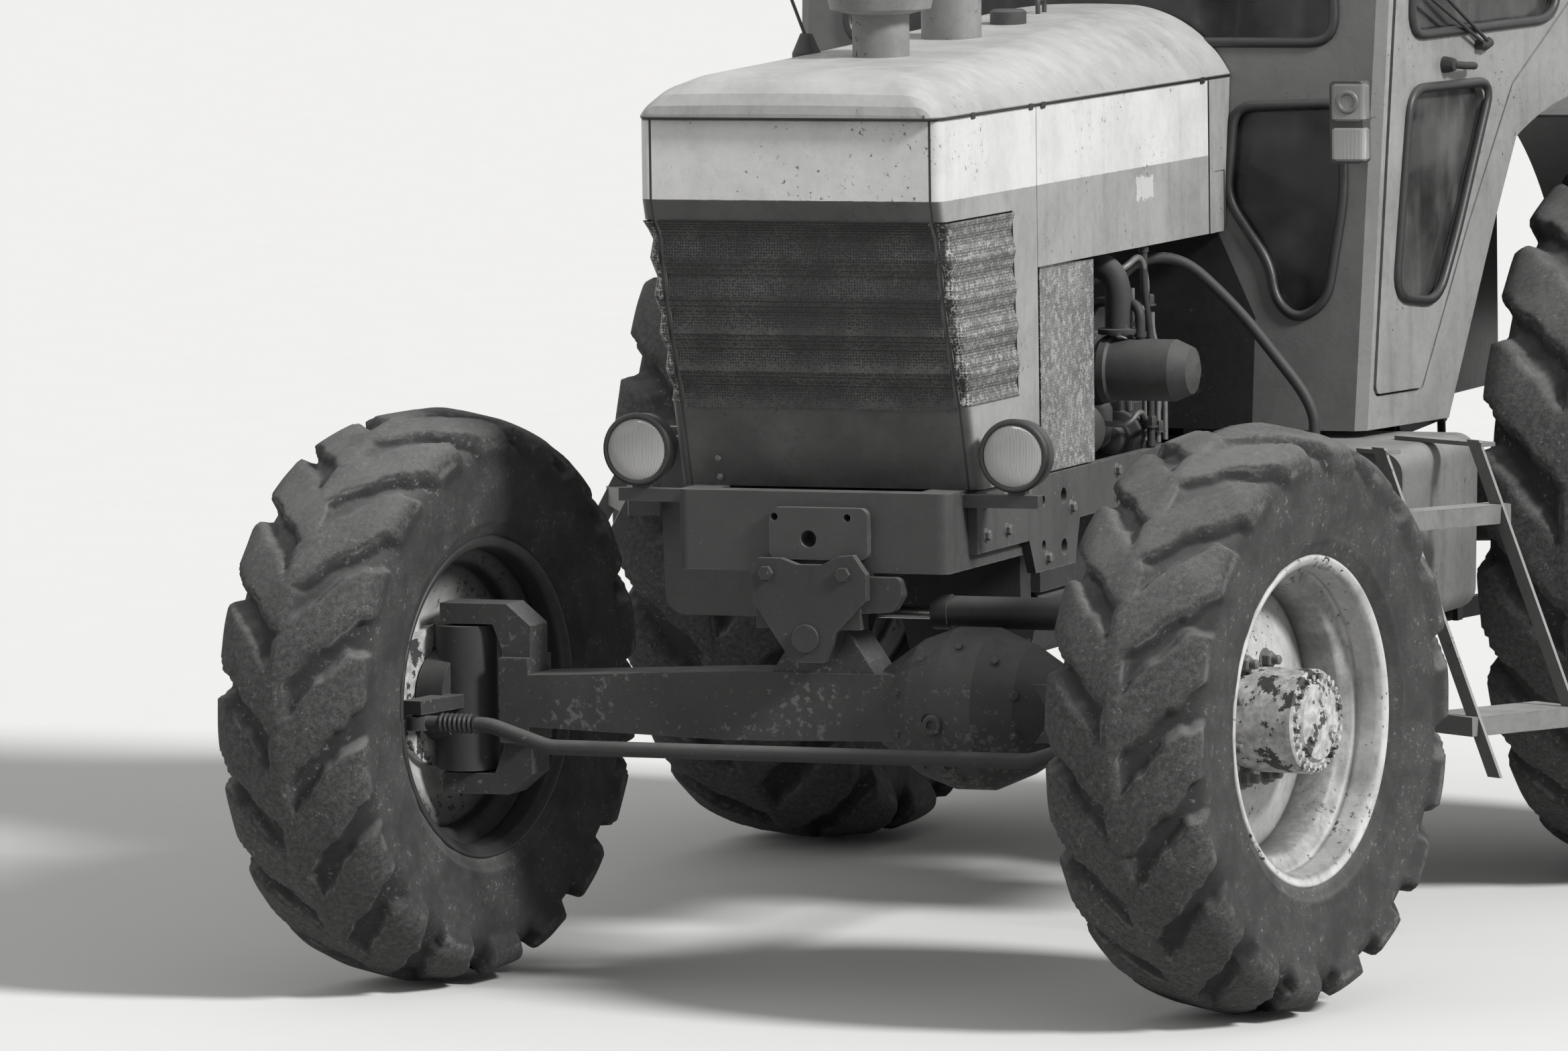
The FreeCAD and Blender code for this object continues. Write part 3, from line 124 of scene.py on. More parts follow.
def makeWeatherGroup():                    # stains, streaks that run down and chips in a coat of paint
    group, given, result = newGroup("weather", [
        ("Vector", "NodeSocketVector", None), ("Paint", "NodeSocketColor", grey(0.4)),
        ("Dirt", "NodeSocketColor", grey(0.1)), ("Bare", "NodeSocketColor", grey(0.05)),
        ("Scale", "NodeSocketFloat", 3.0), ("Stain", "NodeSocketFloat", 0.5),
        ("Chips", "NodeSocketFloat", 0.5),
    ], [("Color", "NodeSocketColor"), ("Height", "NodeSocketFloat"), ("Chip", "NodeSocketFloat")])
    place = given["Vector"]
    broad = step(group, noise(group, place, given["Scale"], 7.0, 0.62), 0.38, 0.68)
    runs = noise(group, stretched(group, place, (1.0, 1.0, 0.10)), 22.0, 5.0, 0.6)
    runs = step(group, runs, 0.48, 0.72)
    fine = step(group, noise(group, place, 38.0, 6.0, 0.7), 0.40, 0.70)
    stain = plus(group, times(group, broad, 0.55), times(group, runs, 0.3))
    stain = plus(group, stain, times(group, fine, 0.25))
    stain = times(group, stain, given["Stain"])
    colour = mix(group, stain, given["Paint"], given["Dirt"])
    limit = minus(group, 0.78, times(group, given["Chips"], 0.22))
    speck = noise(group, place, 55.0, 9.0, 0.72)
    patch = step(group, noise(group, place, 4.5, 3.0, 0.5), 0.40, 0.66)
    level = minus(group, plus(group, speck, times(group, patch, 0.09)), limit)
    chip = step(group, level, 0.0, 0.03)
    group.links.new(mix(group, chip, colour, given["Bare"]), result["Color"])
    group.links.new(minus(group, times(group, fine, 0.3), chip), result["Height"])
    group.links.new(chip, result["Chip"])
    return group


def makeDustGroup():                       # dust that lies on what faces up, thicker in patches
    group, given, result = newGroup("dust", [
        ("Vector", "NodeSocketVector", None), ("Color", "NodeSocketColor", grey(0.2)),
        ("Dust", "NodeSocketColor", grey(0.45)), ("Amount", "NodeSocketFloat", 0.5),
    ], [("Color", "NodeSocketColor")])
    normal = addNode(group, "ShaderNodeNewGeometry").outputs["Normal"]
    up = addNode(group, "ShaderNodeSeparateXYZ", {0: normal}).outputs["Z"]
    up = step(group, up, 0.15, 0.95)
    patch = step(group, noise(group, given["Vector"], 6.0, 8.0, 0.68), 0.34, 0.66)
    patch = plus(group, times(group, patch, 0.5), 0.5)
    amount = times(group, times(group, up, patch), given["Amount"])
    group.links.new(mix(group, amount, given["Color"], given["Dust"]), result["Color"])
    return group


def makeEdgeGroup():                       # 1 along sharp edges, where paint rubs through
    group, given, result = newGroup("edgeRub", [
        ("Vector", "NodeSocketVector", None), ("Radius", "NodeSocketFloat", 0.004),
    ], [("Mask", "NodeSocketFloat")])
    soft = addNode(group, "ShaderNodeBevel", {"Radius": given["Radius"]}, samples=4).outputs["Normal"]
    flat = addNode(group, "ShaderNodeNewGeometry").outputs["Normal"]
    dot = addNode(group, "ShaderNodeVectorMath", {0: soft, 1: flat}, operation="DOT_PRODUCT").outputs["Value"]
    edge = step(group, minus(group, 1.0, dot), 0.01, 0.10)
    broken = step(group, noise(group, given["Vector"], 26.0, 7.0, 0.7), 0.42, 0.58)
    group.links.new(times(group, edge, broken), result["Mask"])
    return group


def makeGrimeAndShadeGroup():                      # road grime plus painted shade on the faces that look forward
    group, given, result = newGroup("frontGrimeAndShade", [
        ("Vector", "NodeSocketVector", None), ("Color", "NodeSocketColor", grey(0.3)),
        ("GrimeAndShade", "NodeSocketColor", grey(0.07)), ("Amount", "NodeSocketFloat", 0.8),
    ], [("Color", "NodeSocketColor")])
    normal = addNode(group, "ShaderNodeNewGeometry").outputs["Normal"]
    ahead = addNode(group, "ShaderNodeSeparateXYZ", {0: normal}).outputs["Y"]
    ahead = step(group, times(group, ahead, -1.0), 0.45, 0.95)
    broken = plus(group, times(group, noise(group, given["Vector"], 7.0, 7.0, 0.65), 0.5), 0.72)
    amount = times(group, times(group, ahead, broken), given["Amount"])
    amount = compute(group, "MINIMUM", amount, 1.0)
    group.links.new(mix(group, amount, given["Color"], given["GrimeAndShade"]), result["Color"])
    return group


groups = {}


def placeGroup(tree, name, sockets):
    node = tree.nodes.new("ShaderNodeGroup")
    node.node_tree = groups[name]
    for key, value in sockets.items():
        if isinstance(value, bpy.types.NodeSocket):
            tree.links.new(value, node.inputs[key])
        else:
            node.inputs[key].default_value = value
    return node.outputs


def newMaterial(name, roughness=0.6, metallic=0.0):
    material = bpy.data.materials.new(name)
    material.use_nodes = True
    tree = material.node_tree
    shader = tree.nodes["Principled BSDF"]
    shader.inputs["Roughness"].default_value = roughness
    shader.inputs["Metallic"].default_value = metallic
    place = tree.nodes.new("ShaderNodeTexCoord").outputs["Object"]
    return material, tree, shader, place


def setBump(tree, shader, height, distance, strength=1.0):
    sockets = {"Height": height, "Distance": distance, "Strength": strength}
    bump = addNode(tree, "ShaderNodeBump", sockets)
    tree.links.new(bump.outputs["Normal"], shader.inputs["Normal"])


# The shared effects, each with this material's own values

def weathered(tree, place, paint, dirt, bare, scale, stain, chips):
    return placeGroup(tree, "weather", {
        "Vector": place, "Paint": grey(paint), "Dirt": grey(dirt), "Bare": grey(bare),
        "Scale": scale, "Stain": stain, "Chips": chips,
    })


def dusted(tree, place, colour, level, amount):
    sockets = {"Vector": place, "Color": colour, "Dust": grey(level), "Amount": amount}
    return placeGroup(tree, "dust", sockets)["Color"]


def grimedAndShaded(tree, place, colour, level, amount):
    sockets = {"Vector": place, "Color": colour, "GrimeAndShade": grey(level), "Amount": amount}
    return placeGroup(tree, "frontGrimeAndShade", sockets)["Color"]


def edgeWorn(tree, place, colour, radius, share, level):
    rub = placeGroup(tree, "edgeRub", {"Vector": place, "Radius": radius})["Mask"]
    return mix(tree, times(tree, rub, share), colour, grey(level))


# Materials

paints = {
    # paint, dirt, bare, scale of stains, stain, chips, dust, roughness, grime and painted shade ahead
    "cab_paint": (0.360, 0.170, 0.06, 3.0, 0.75, 0.36, 0.40, 0.40, 0.86),
    "frame_paint": (0.095, 0.040, 0.30, 4.0, 0.75, 0.40, 0.60, 0.60, 0.65),
    "stepPaint": (0.260, 0.100, 0.06, 5.0, 0.75, 0.45, 0.90, 0.60, 0.55),
    "tankPaint": (0.220, 0.080, 0.05, 4.0, 0.80, 0.40, 0.60, 0.55, 0.70),
    "rim_paint": (0.700, 0.160, 0.04, 6.0, 0.70, 0.62, 0.10, 0.50, 0.0),
    "cast_grey": (0.050, 0.022, 0.20, 5.0, 0.70, 0.46, 0.62, 0.75, 0.30),
    "axleIron": (0.060, 0.030, 0.16, 5.0, 0.65, 0.80, 0.70, 0.75, 0.0),
    "pad_grey": (0.150, 0.060, 0.30, 7.0, 0.65, 0.46, 0.45, 0.60, 0.40),
    "stackSteel": (0.300, 0.120, 0.05, 7.0, 0.70, 0.50, 0.30, 0.62, 0.30),
}
wearAndShade = {"edge": 0.004, "rubbed": 0.7, "grimeAndShade": 0.28, "dustGain": 1.4, "dustLift": 0.14, "palest": 0.5}
# Painted shade on the cab's front wall, behind the engine, where it lies in shadow: it widens from its top down.
firewallShade = {"top": 1.668, "back": 1.850, "narrow": 0.352, "wide": 0.455, "slope": 0.5, "tone": (0.008, 0.030)}
# Rim darkening: caked mud and painted shade on the inboard side, mud in the well, painted shade in the groove
# under the lip.
rimMudAndShade = {"inboard": (0.015, 0.06), "well": (0.06, 0.34), "patchy": 0.6, "least": 0.35}


def paintMaterial(name):
    paint, dirt, bare, scale, stain, chips, dust, roughness, grimeAndShade = paints[name]
    material, tree, shader, place = newMaterial(name, roughness)
    coat = weathered(tree, place, paint, dirt, bare, scale, stain, chips)
    colour = edgeWorn(tree, place, coat["Color"], wearAndShade["edge"], wearAndShade["rubbed"], bare)
    # Faces that look forward darken: grime plus painted shade.
    if grimeAndShade:
        colour = grimedAndShaded(tree, place, colour, paint * wearAndShade["grimeAndShade"], grimeAndShade)
    dustLevel = min(wearAndShade["palest"], paint * wearAndShade["dustGain"] + wearAndShade["dustLift"])
    colour = dusted(tree, place, colour, dustLevel, dust)
    # The dark patch on the front wall behind the engine is painted shade.
    if name == "cab_paint":
        parts = addNode(tree, "ShaderNodeSeparateXYZ", {0: place}).outputs
        top = firewallShade["top"] + groundZ
        slope = times(tree, minus(tree, top, parts["Z"]), firewallShade["slope"])
        edge = compute(tree, "MINIMUM", plus(tree, slope, firewallShade["narrow"]), firewallShade["wide"])
        inShade = compute(tree, "LESS_THAN", compute(tree, "ABSOLUTE", parts["X"]), edge)
        for axis, limit in (("Z", top), ("Y", firewallShade["back"] + frontAxleY)):
            inShade = times(tree, inShade, compute(tree, "LESS_THAN", parts[axis], limit))
        colour = mix(tree, inShade, colour, toned(tree, noise(tree, place, 30.0, 7.0, 0.7), firewallShade["tone"]))
    if name == "rim_paint":                # the side that faces the frame is darkened: caked mud plus painted shade
        inboard = addNode(tree, "ShaderNodeAttribute", attribute_name="inboard").outputs["Fac"]
        cakedAndShaded = toned(tree, noise(tree, place, 14.0, 8.0, 0.7), rimMudAndShade["inboard"])
        well = addNode(tree, "ShaderNodeAttribute", attribute_name="well").outputs["Fac"]
        # The well's mottle is mud; the same mask carries a painted shade ring in the groove under the flange lip.
        wellMudAndShade = step(tree, noise(tree, place, 10.0, 9.0, 0.7), 0.30, 0.62)
        mottled = toned(tree, noise(tree, place, 60.0, 8.0, 0.8), rimMudAndShade["well"])
        wellMudAndShade = times(tree, well, plus(tree, times(tree, wellMudAndShade, rimMudAndShade["patchy"]), rimMudAndShade["least"]))
        colour = mix(tree, compute(tree, "MINIMUM", wellMudAndShade, 1.0), colour, mottled)
        colour = mix(tree, inboard, colour, cakedAndShaded)
    tree.links.new(colour, shader.inputs["Base Color"])
    rough = plus(tree, times(tree, coat["Chip"], 0.2), roughness)
    tree.links.new(rough, shader.inputs["Roughness"])
    setBump(tree, shader, coat["Height"], 0.0012, 0.7)
    return material


hoodCoats = {
    # paint, dirt, bare, scale of stains, stain, chips
    "paint": (0.42, 0.20, 0.06, 3.4, 0.72, 0.40),
    "stripe": (0.80, 0.40, 0.14, 5.0, 0.46, 0.42),
}
hoodDirtAndShade = {"grimeAndShade": 0.062, "dust": 0.66, "dusty": 0.9, "edge": 0.003, "rubbed": 0.55, "bare": 0.07}
stripe = {"low": 1.863, "high": 2.044, "rear": 1.612}
seamsAndLipShadow = {
    "corner": 0.343, "noseBack": 0.392, "noseFront": 0.120, "top": 2.047, "lip": 2.050, "half": 0.0024,
    "level": 0.015,
}
sticker = {"y": 1.15, "z": 1.812, "halfLong": 0.060, "halfHigh": 0.027, "leftOf": 0.3, "level": 0.62}


def awayFrom(tree, value, middle):
    return compute(tree, "ABSOLUTE", minus(tree, value, middle))


def hoodMaterial():                        # worn light paint, white stripe, dark seams, painted shadow under the top's lip, forward faces darkened by grime and painted shade, a torn blank sticker
    material, tree, shader, place = newMaterial("hood_paint", 0.42)
    coat = weathered(tree, place, *hoodCoats["paint"])
    parts = addNode(tree, "ShaderNodeSeparateXYZ", {0: place}).outputs
    low = compute(tree, "LESS_THAN", parts["Z"], stripe["high"] + groundZ)
    # Below the stripe's top, faces that look forward darken: grime plus painted shade.
    colour = grimedAndShaded(tree, place, coat["Color"], hoodDirtAndShade["grimeAndShade"], low)
    colour = dusted(tree, place, colour, hoodDirtAndShade["dust"], hoodDirtAndShade["dusty"])
    ragged = times(tree, minus(tree, noise(tree, place, 30.0, 8.0, 0.7), 0.5), 0.004)
    height = plus(tree, parts["Z"], ragged)
    above = compute(tree, "GREATER_THAN", height, stripe["low"] + groundZ)
    below = compute(tree, "LESS_THAN", height, stripe["high"] + groundZ)
    ahead = compute(tree, "LESS_THAN", parts["Y"], stripe["rear"] + frontAxleY)
    band = times(tree, times(tree, above, below), ahead)
    colour = mix(tree, band, colour, weathered(tree, place, *hoodCoats["stripe"])["Color"])
    tear = times(tree, minus(tree, noise(tree, place, 55.0, 6.0, 0.75), 0.5), 0.05)
    patch = compute(tree, "GREATER_THAN", parts["X"], sticker["leftOf"])
    for axis, middle, half in (("Y", sticker["y"] + frontAxleY, sticker["halfLong"]),
                               ("Z", sticker["z"] + groundZ, sticker["halfHigh"])):
        away = plus(tree, awayFrom(tree, parts[axis], middle), tear)
        patch = times(tree, patch, compute(tree, "LESS_THAN", away, half))
    colour = mix(tree, patch, colour, grey(sticker["level"]))
    colour = edgeWorn(tree, place, colour, hoodDirtAndShade["edge"], hoodDirtAndShade["rubbed"], hoodDirtAndShade["bare"])
    half = seamsAndLipShadow["half"]
    across = awayFrom(tree, compute(tree, "ABSOLUTE", parts["X"]), seamsAndLipShadow["corner"])
    nearFront = compute(tree, "LESS_THAN", parts["Y"], seamsAndLipShadow["noseFront"] + frontAxleY)
    corner = times(tree, step(tree, across, half * 1.5, half), nearFront)
    behind = awayFrom(tree, parts["Y"], seamsAndLipShadow["noseBack"] + frontAxleY)
    seam = compute(tree, "MAXIMUM", corner, step(tree, behind, half * 1.5, half))
    seam = times(tree, seam, compute(tree, "LESS_THAN", parts["Z"], seamsAndLipShadow["top"] + groundZ))
    # The thin dark line under the top's lip is painted shadow.
    lip = step(tree, awayFrom(tree, parts["Z"], seamsAndLipShadow["lip"] + groundZ), half * 2.0, half * 1.2)
    colour = mix(tree, compute(tree, "MAXIMUM", seam, lip), colour, grey(seamsAndLipShadow["level"]))
    tree.links.new(colour, shader.inputs["Base Color"])
    rough = step(tree, noise(tree, place, 8.0, 6.0, 0.6), -0.4, 1.3)
    tree.links.new(rough, shader.inputs["Roughness"])
    dent = times(tree, noise(tree, place, 2.2, 2.0, 0.4), 6.0)
    setBump(tree, shader, plus(tree, dent, coat["Height"]), 0.0012, 0.6)
    return material


hubTone = {"iron": (0.02, 0.10), "paint": (0.66, 0.34), "flaking": (0.435, 0.455)}


def hubMaterial():                         # pale paint flaking off dark iron
    material, tree, shader, place = newMaterial("hub_paint", 0.7)
    flake = step(tree, noise(tree, place, 19.0, 10.0, 0.68), *hubTone["flaking"])
    iron = toned(tree, noise(tree, place, 80.0, 5.0, 0.6), hubTone["iron"])
    pale = toned(tree, step(tree, noise(tree, place, 50.0, 6.0, 0.6), 0.3, 0.7), hubTone["paint"])
    tree.links.new(mix(tree, flake, iron, pale), shader.inputs["Base Color"])
    setBump(tree, shader, flake, 0.0015, 0.9)
    return material


tyreTone = {
    "rubber": (0.042, 0.085), "crest": (0.035, 0.17), "grooveShade": 0.028, "edge": 0.24, "speck": 0.34,
    "dust": 0.34, "worn": 0.80, "grooveShading": 0.75, "edged": 0.6, "specked": 0.8, "dusty": 0.6, "skin": 0.0045,
}


def tyreMaterial():                        # scuffed pale crests, grooves darkened as painted shade, mottled and cracked sidewalls
    material, tree, shader, place = newMaterial("tyre_black", 0.88)
    relief = addNode(tree, "ShaderNodeAttribute", attribute_name="relief").outputs["Fac"]
    broad = step(tree, noise(tree, place, 9.0, 10.0, 0.7), 0.34, 0.68)
    base = toned(tree, broad, tyreTone["rubber"])
    crest = step(tree, noise(tree, place, 75.0, 12.0, 0.85), 0.38, 0.66)
    worn = times(tree, step(tree, relief, 0.55, 1.0), tyreTone["worn"])
    colour = mix(tree, worn, base, toned(tree, crest, tyreTone["crest"]))
    # Grooves between the lugs are darkened as painted shade.
    grooveShade = times(tree, step(tree, relief, 0.6, 0.02), tyreTone["grooveShading"])
    tread = addNode(tree, "ShaderNodeAttribute", attribute_name="tread").outputs["Fac"]
    colour = mix(tree, times(tree, grooveShade, tread), colour, grey(tyreTone["grooveShade"]))
    crestEdge = step(tree, compute(tree, "ABSOLUTE", minus(tree, relief, 0.72)), 0.20, 0.05)
    rubbed = times(tree, crestEdge, step(tree, noise(tree, place, 16.0, 8.0, 0.7), 0.46, 0.60))
    rubbed = times(tree, times(tree, rubbed, tread), tyreTone["edged"])
    colour = mix(tree, rubbed, colour, grey(tyreTone["edge"]))
    scuff = step(tree, noise(tree, place, 70.0, 10.0, 0.8), 0.565, 0.62)
    speck = times(tree, scuff, step(tree, noise(tree, place, 9.0, 4.0, 0.6), 0.42, 0.60))
    colour = mix(tree, times(tree, speck, tyreTone["specked"]), colour, grey(tyreTone["speck"]))
    colour = dusted(tree, place, colour, tyreTone["dust"], tyreTone["dusty"])
    tree.links.new(colour, shader.inputs["Base Color"])
    sockets = {"Vector": place, "Scale": 42.0}
    cells = addNode(tree, "ShaderNodeTexVoronoi", sockets, feature="DISTANCE_TO_EDGE")
    crack = step(tree, cells.outputs["Distance"], 0.0, 0.05)
    skin = plus(tree, times(tree, noise(tree, place, 60.0, 12.0, 0.82), 1.6), times(tree, crack, 0.12))
    setBump(tree, shader, skin, tyreTone["skin"], 0.85)
    return material


grilleTone = {
    "shadedFrontWire": (0.045, 0.11), "litSideWire": (0.19, 0.31), "litAndShadedGaps": (0.014, 0.07), "mesh": 150.0,
    "cornerX": (0.325, 0.36), "scuff": 0.50, "fleck": 0.30,
}


def grilleMaterial():                      # fine woven mesh, dusty on its waves, scuffed pale at the corners; sideways wire and gaps paler as dust plus painted light, forward ones darker as painted shade
    material, tree, shader, place = newMaterial("grille_black", 0.6, 0.25)
    sockets = {"Vector": place, "Scale": grilleTone["mesh"], "Randomness": 0.35}
    cells = addNode(tree, "ShaderNodeTexVoronoi", sockets)
    wire = step(tree, cells.outputs["Distance"], 0.30, 0.55)
    dusty = step(tree, noise(tree, place, 7.0, 9.0, 0.7), 0.40, 0.70)
    # Faces that look sideways get the paler tones as painted light, those that look ahead the darker tones as
    # painted shade.
    normal = addNode(tree, "ShaderNodeNewGeometry").outputs["Normal"]
    sideLit = addNode(tree, "ShaderNodeSeparateXYZ", {0: normal}).outputs["X"]
    sideLit = step(tree, compute(tree, "ABSOLUTE", sideLit), 0.45, 0.85)
    wires = [toned(tree, dusty, grilleTone[part]) for part in ("shadedFrontWire", "litSideWire")]
    bright = mix(tree, sideLit, *wires)
    dark = toned(tree, sideLit, grilleTone["litAndShadedGaps"])
    parts = addNode(tree, "ShaderNodeSeparateXYZ", {0: place}).outputs
    corner = step(tree, compute(tree, "ABSOLUTE", parts["X"]), *grilleTone["cornerX"])
    flake = times(tree, step(tree, noise(tree, place, 60.0, 9.0, 0.8), 0.50, 0.56), corner)
    bright = mix(tree, times(tree, flake, 0.9), bright, grey(grilleTone["scuff"]))
    fleck = times(tree, step(tree, noise(tree, place, 120.0, 6.0, 0.7), 0.62, 0.68), dusty)
    fleck = times(tree, times(tree, fleck, minus(tree, 1.0, sideLit)), 0.7)
    colour = mix(tree, fleck, mix(tree, wire, dark, bright), grey(grilleTone["fleck"]))
    tree.links.new(colour, shader.inputs["Base Color"])
    setBump(tree, shader, cells.outputs["Distance"], 0.002, 0.6)
    return material


paneTone = {"glass": (0.035, 0.20), "grimeAndShade": 0.03, "grimyAndShaded": 0.7, "smooth": 0.06, "clear": 0.52}


def glassMaterial():                       # dusty panes with streaks, darker where they look ahead: grime plus painted shade
    material, tree, shader, place = newMaterial("window", 0.1)
    dust = step(tree, noise(tree, place, 4.0, 6.0, 0.6), 0.30, 0.75)
    streaks = step(tree, noise(tree, stretched(tree, place, (1.0, 1.0, 0.15)), 16.0, 5.0, 0.6), 0.45, 0.75)
    film = plus(tree, times(tree, dust, 0.6), times(tree, streaks, 0.3))
    pane = toned(tree, film, paneTone["glass"])
    # Panes that look ahead darken: grime plus painted shade.
    pane = grimedAndShaded(tree, place, pane, paneTone["grimeAndShade"], paneTone["grimyAndShaded"])
    tree.links.new(pane, shader.inputs["Base Color"])
    tree.links.new(plus(tree, times(tree, film, 0.35), paneTone["smooth"]), shader.inputs["Roughness"])
    tree.links.new(plus(tree, times(tree, film, 0.40), paneTone["clear"]), shader.inputs["Alpha"])
    return material


def lensMaterial(name, pale, ribs, middle, half):  # ribbed lens, pale as a painted reflection of its bowl, paler towards the bottom as painted light
    material, tree, shader, place = newMaterial(name, 0.16)
    shader.inputs["Coat Weight"].default_value = 0.6
    bands = addNode(tree, "ShaderNodeTexWave", {"Vector": place, "Scale": ribs, "Distortion": 0.0},
                    bands_direction="X", wave_profile="SIN").outputs["Fac"]
    height = addNode(tree, "ShaderNodeSeparateXYZ", {0: place}).outputs["Z"]
    # The lens is painted paler towards the bottom as painted light.
    paintedGlow = step(tree, height, middle + half + groundZ, middle - half + groundZ)
    low = mix(tree, paintedGlow, grey(pale * 0.45), grey(pale))
    tree.links.new(mix(tree, times(tree, bands, 0.22), low, grey(pale * 0.5)), shader.inputs["Base Color"])
    setBump(tree, shader, bands, 0.0012, 0.8)
    return material


def plainMaterial(name, level, roughness, metallic, size):
    material, tree, shader, place = newMaterial(name, roughness, metallic)
    mottle = noise(tree, place, size, 7.0, 0.65)
    colour = mix(tree, mottle, grey(level * 0.55), grey(level * 1.4))
    tree.links.new(dusted(tree, place, colour, level + 0.12, 0.5), shader.inputs["Base Color"])
    setBump(tree, shader, noise(tree, place, size * 5, 4.0, 0.6), 0.0006, 0.6)
    return material


fabricTone = {"cloth": (0.03, 0.085), "thread": 0.11, "weave": 260.0, "sheen": 0.3}


def fabricMaterial():                      # coarse weave with worn, paler patches
    material, tree, shader, place = newMaterial("seat_fabric", 0.95)
    threads = []
    for axis in ("X", "Y"):
        sockets = {"Vector": place, "Scale": fabricTone["weave"], "Distortion": 0.6}
        thread = addNode(tree, "ShaderNodeTexWave", sockets, bands_direction=axis)
        threads.append(thread.outputs["Fac"])
    weave = times(tree, threads[0], threads[1])
    worn = step(tree, noise(tree, place, 9.0, 6.0, 0.6), 0.35, 0.75)
    colour = toned(tree, worn, fabricTone["cloth"])
    colour = mix(tree, times(tree, weave, 0.5), colour, grey(fabricTone["thread"]))
    tree.links.new(colour, shader.inputs["Base Color"])
    setBump(tree, shader, weave, 0.0008, 0.8)
    shader.inputs["Sheen Weight"].default_value = fabricTone["sheen"]
    return material


# level, roughness, metallic, size of the mottle
plainFinishes = {
    "exhaust_steel": (0.10, 0.70, 0.5, 40.0),
    "rod_chrome": (0.55, 0.25, 1.0, 40.0),
    "hose_rubber": (0.035, 0.62, 0.0, 40.0),
    "console_plastic": (0.06, 0.60, 0.0, 40.0),
    "lamp_body": (0.055, 0.45, 0.0, 40.0),
    "seal": (0.028, 0.42, 0.0, 40.0),
    "darkSteel": (0.05, 0.55, 0.5, 60.0),
    "paleSteel": (0.20, 0.50, 0.4, 60.0),
}
# paleness of the painted reflection, ribs, middle height, half its height of the painted glow
lensFinishesAndPaintedGlow = {
    "headLens": (0.66, 90.0, 1.268, 0.075),
    "cornerLens": (0.46, 90.0, 1.940, 0.100),
}


def makeMaterials():
    groups["weather"] = makeWeatherGroup()
    groups["dust"] = makeDustGroup()
    groups["edgeRub"] = makeEdgeGroup()
    groups["frontGrimeAndShade"] = makeGrimeAndShadeGroup()
    made = {name: paintMaterial(name) for name in paints}
    made["hood_paint"] = hoodMaterial()
    made["hub_paint"] = hubMaterial()
    made["tyre_black"] = tyreMaterial()
    made["grille_black"] = grilleMaterial()
    made["window"] = glassMaterial()
    made["seat_fabric"] = fabricMaterial()
    for name, settings in lensFinishesAndPaintedGlow.items():
        made[name] = lensMaterial(name, *settings)
    for name, settings in plainFinishes.items():
        made[name] = plainMaterial(name, *settings)
    return made


finishes = {                               # nodes whose finish differs from the rest of their slot
    "steps": "stepPaint", "fuel_tanks": "tankPaint", "exhaust": "stackSteel", "pre_cleaner": "stackSteel",
    "front_axle": "axleIron", "canister": "console_plastic", "fenders": "frame_paint",
}


def paintNodes():
    slots = {part["node"]: part["material_slot"] for part in frame["record"]["subparts"]}
    for name, thing in nodes.items():
        thing.data.materials.clear()
        thing.data.materials.append(materials[finishes.get(name, slots[name])])


# Mesh helpers

def makePiece(name, points, faces, material, body, sharp=38.0, tidy=True):
    mesh = bpy.data.meshes.new(name)
    mesh.from_pydata([tuple(point) for point in points], [], faces)
    if tidy:
        work = bmesh.new()
        work.from_mesh(mesh)
        bmesh.ops.remove_doubles(work, verts=work.verts, dist=1e-6)
        bmesh.ops.recalc_face_normals(work, faces=work.faces)
        work.to_mesh(mesh)
        work.free()
    mesh.materials.append(materials[material])
    mesh.shade_smooth()
    mesh.set_sharp_from_angle(angle=math.radians(sharp))
    piece = bpy.data.objects.new(name, mesh)
    bpy.context.collection.objects.link(piece)
    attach(piece, body)
    return piece


class Lump:
    # Gathers the points and faces of many small shapes for one piece.

    def __init__(self):
        self.points = []
        self.faces = []

    def add(self, points, faces):
        start = len(self.points)
        self.points.extend(points)
        self.faces.extend([tuple(start + i for i in face) for face in faces])


def gridFaces(rows, columns, closeRows=True, closeColumns=False):
    i = np.arange(rows if closeRows else rows - 1)[:, None]
    j = np.arange(columns if closeColumns else columns - 1)[None, :]
    nextRow = ((i + 1) % rows) * columns
    nextColumn = (j + 1) % columns
    here = i * columns
    corners = [here + j, here + nextColumn, nextRow + nextColumn, nextRow + j]
    return np.stack(corners, axis=-1).reshape(-1, 4).tolist()


def rounded(points, radius, steps=4, closed=True):   # 2D or 3D outline with its corners turned to curves
    corners = [Vector(point) for point in points]
    count = len(corners)
    result = []
    for i, corner in enumerate(corners):
        if not closed and i in (0, count - 1):
            result.append(corner)
            continue
        before = corners[i - 1] - corner
        after = corners[(i + 1) % count] - corner
        first = corner + before.normalized() * min(radius, before.length * 0.48)
        last = corner + after.normalized() * min(radius, after.length * 0.48)
        for k in range(steps + 1):
            t = k / steps
            result.append(first * (1 - t) ** 2 + corner * 2 * t * (1 - t) + last * t ** 2)
    return result


def revolved(section, place, turns=96, closed=True):  # section: along the axis, radius; place: a matrix
    points = []
    for i in range(turns):
        angle = 2 * math.pi * i / turns
        for along, radius in section:
            points.append(place @ Vector((along, radius * math.sin(angle), radius * math.cos(angle))))
    return points, gridFaces(turns, len(section), True, closed)


def facing(point, direction):                        # matrix whose X axis points along a direction
    turn = Vector(direction).normalized().to_track_quat("X", "Z").to_matrix().to_4x4()
    return Matrix.Translation(Vector(point)) @ turn


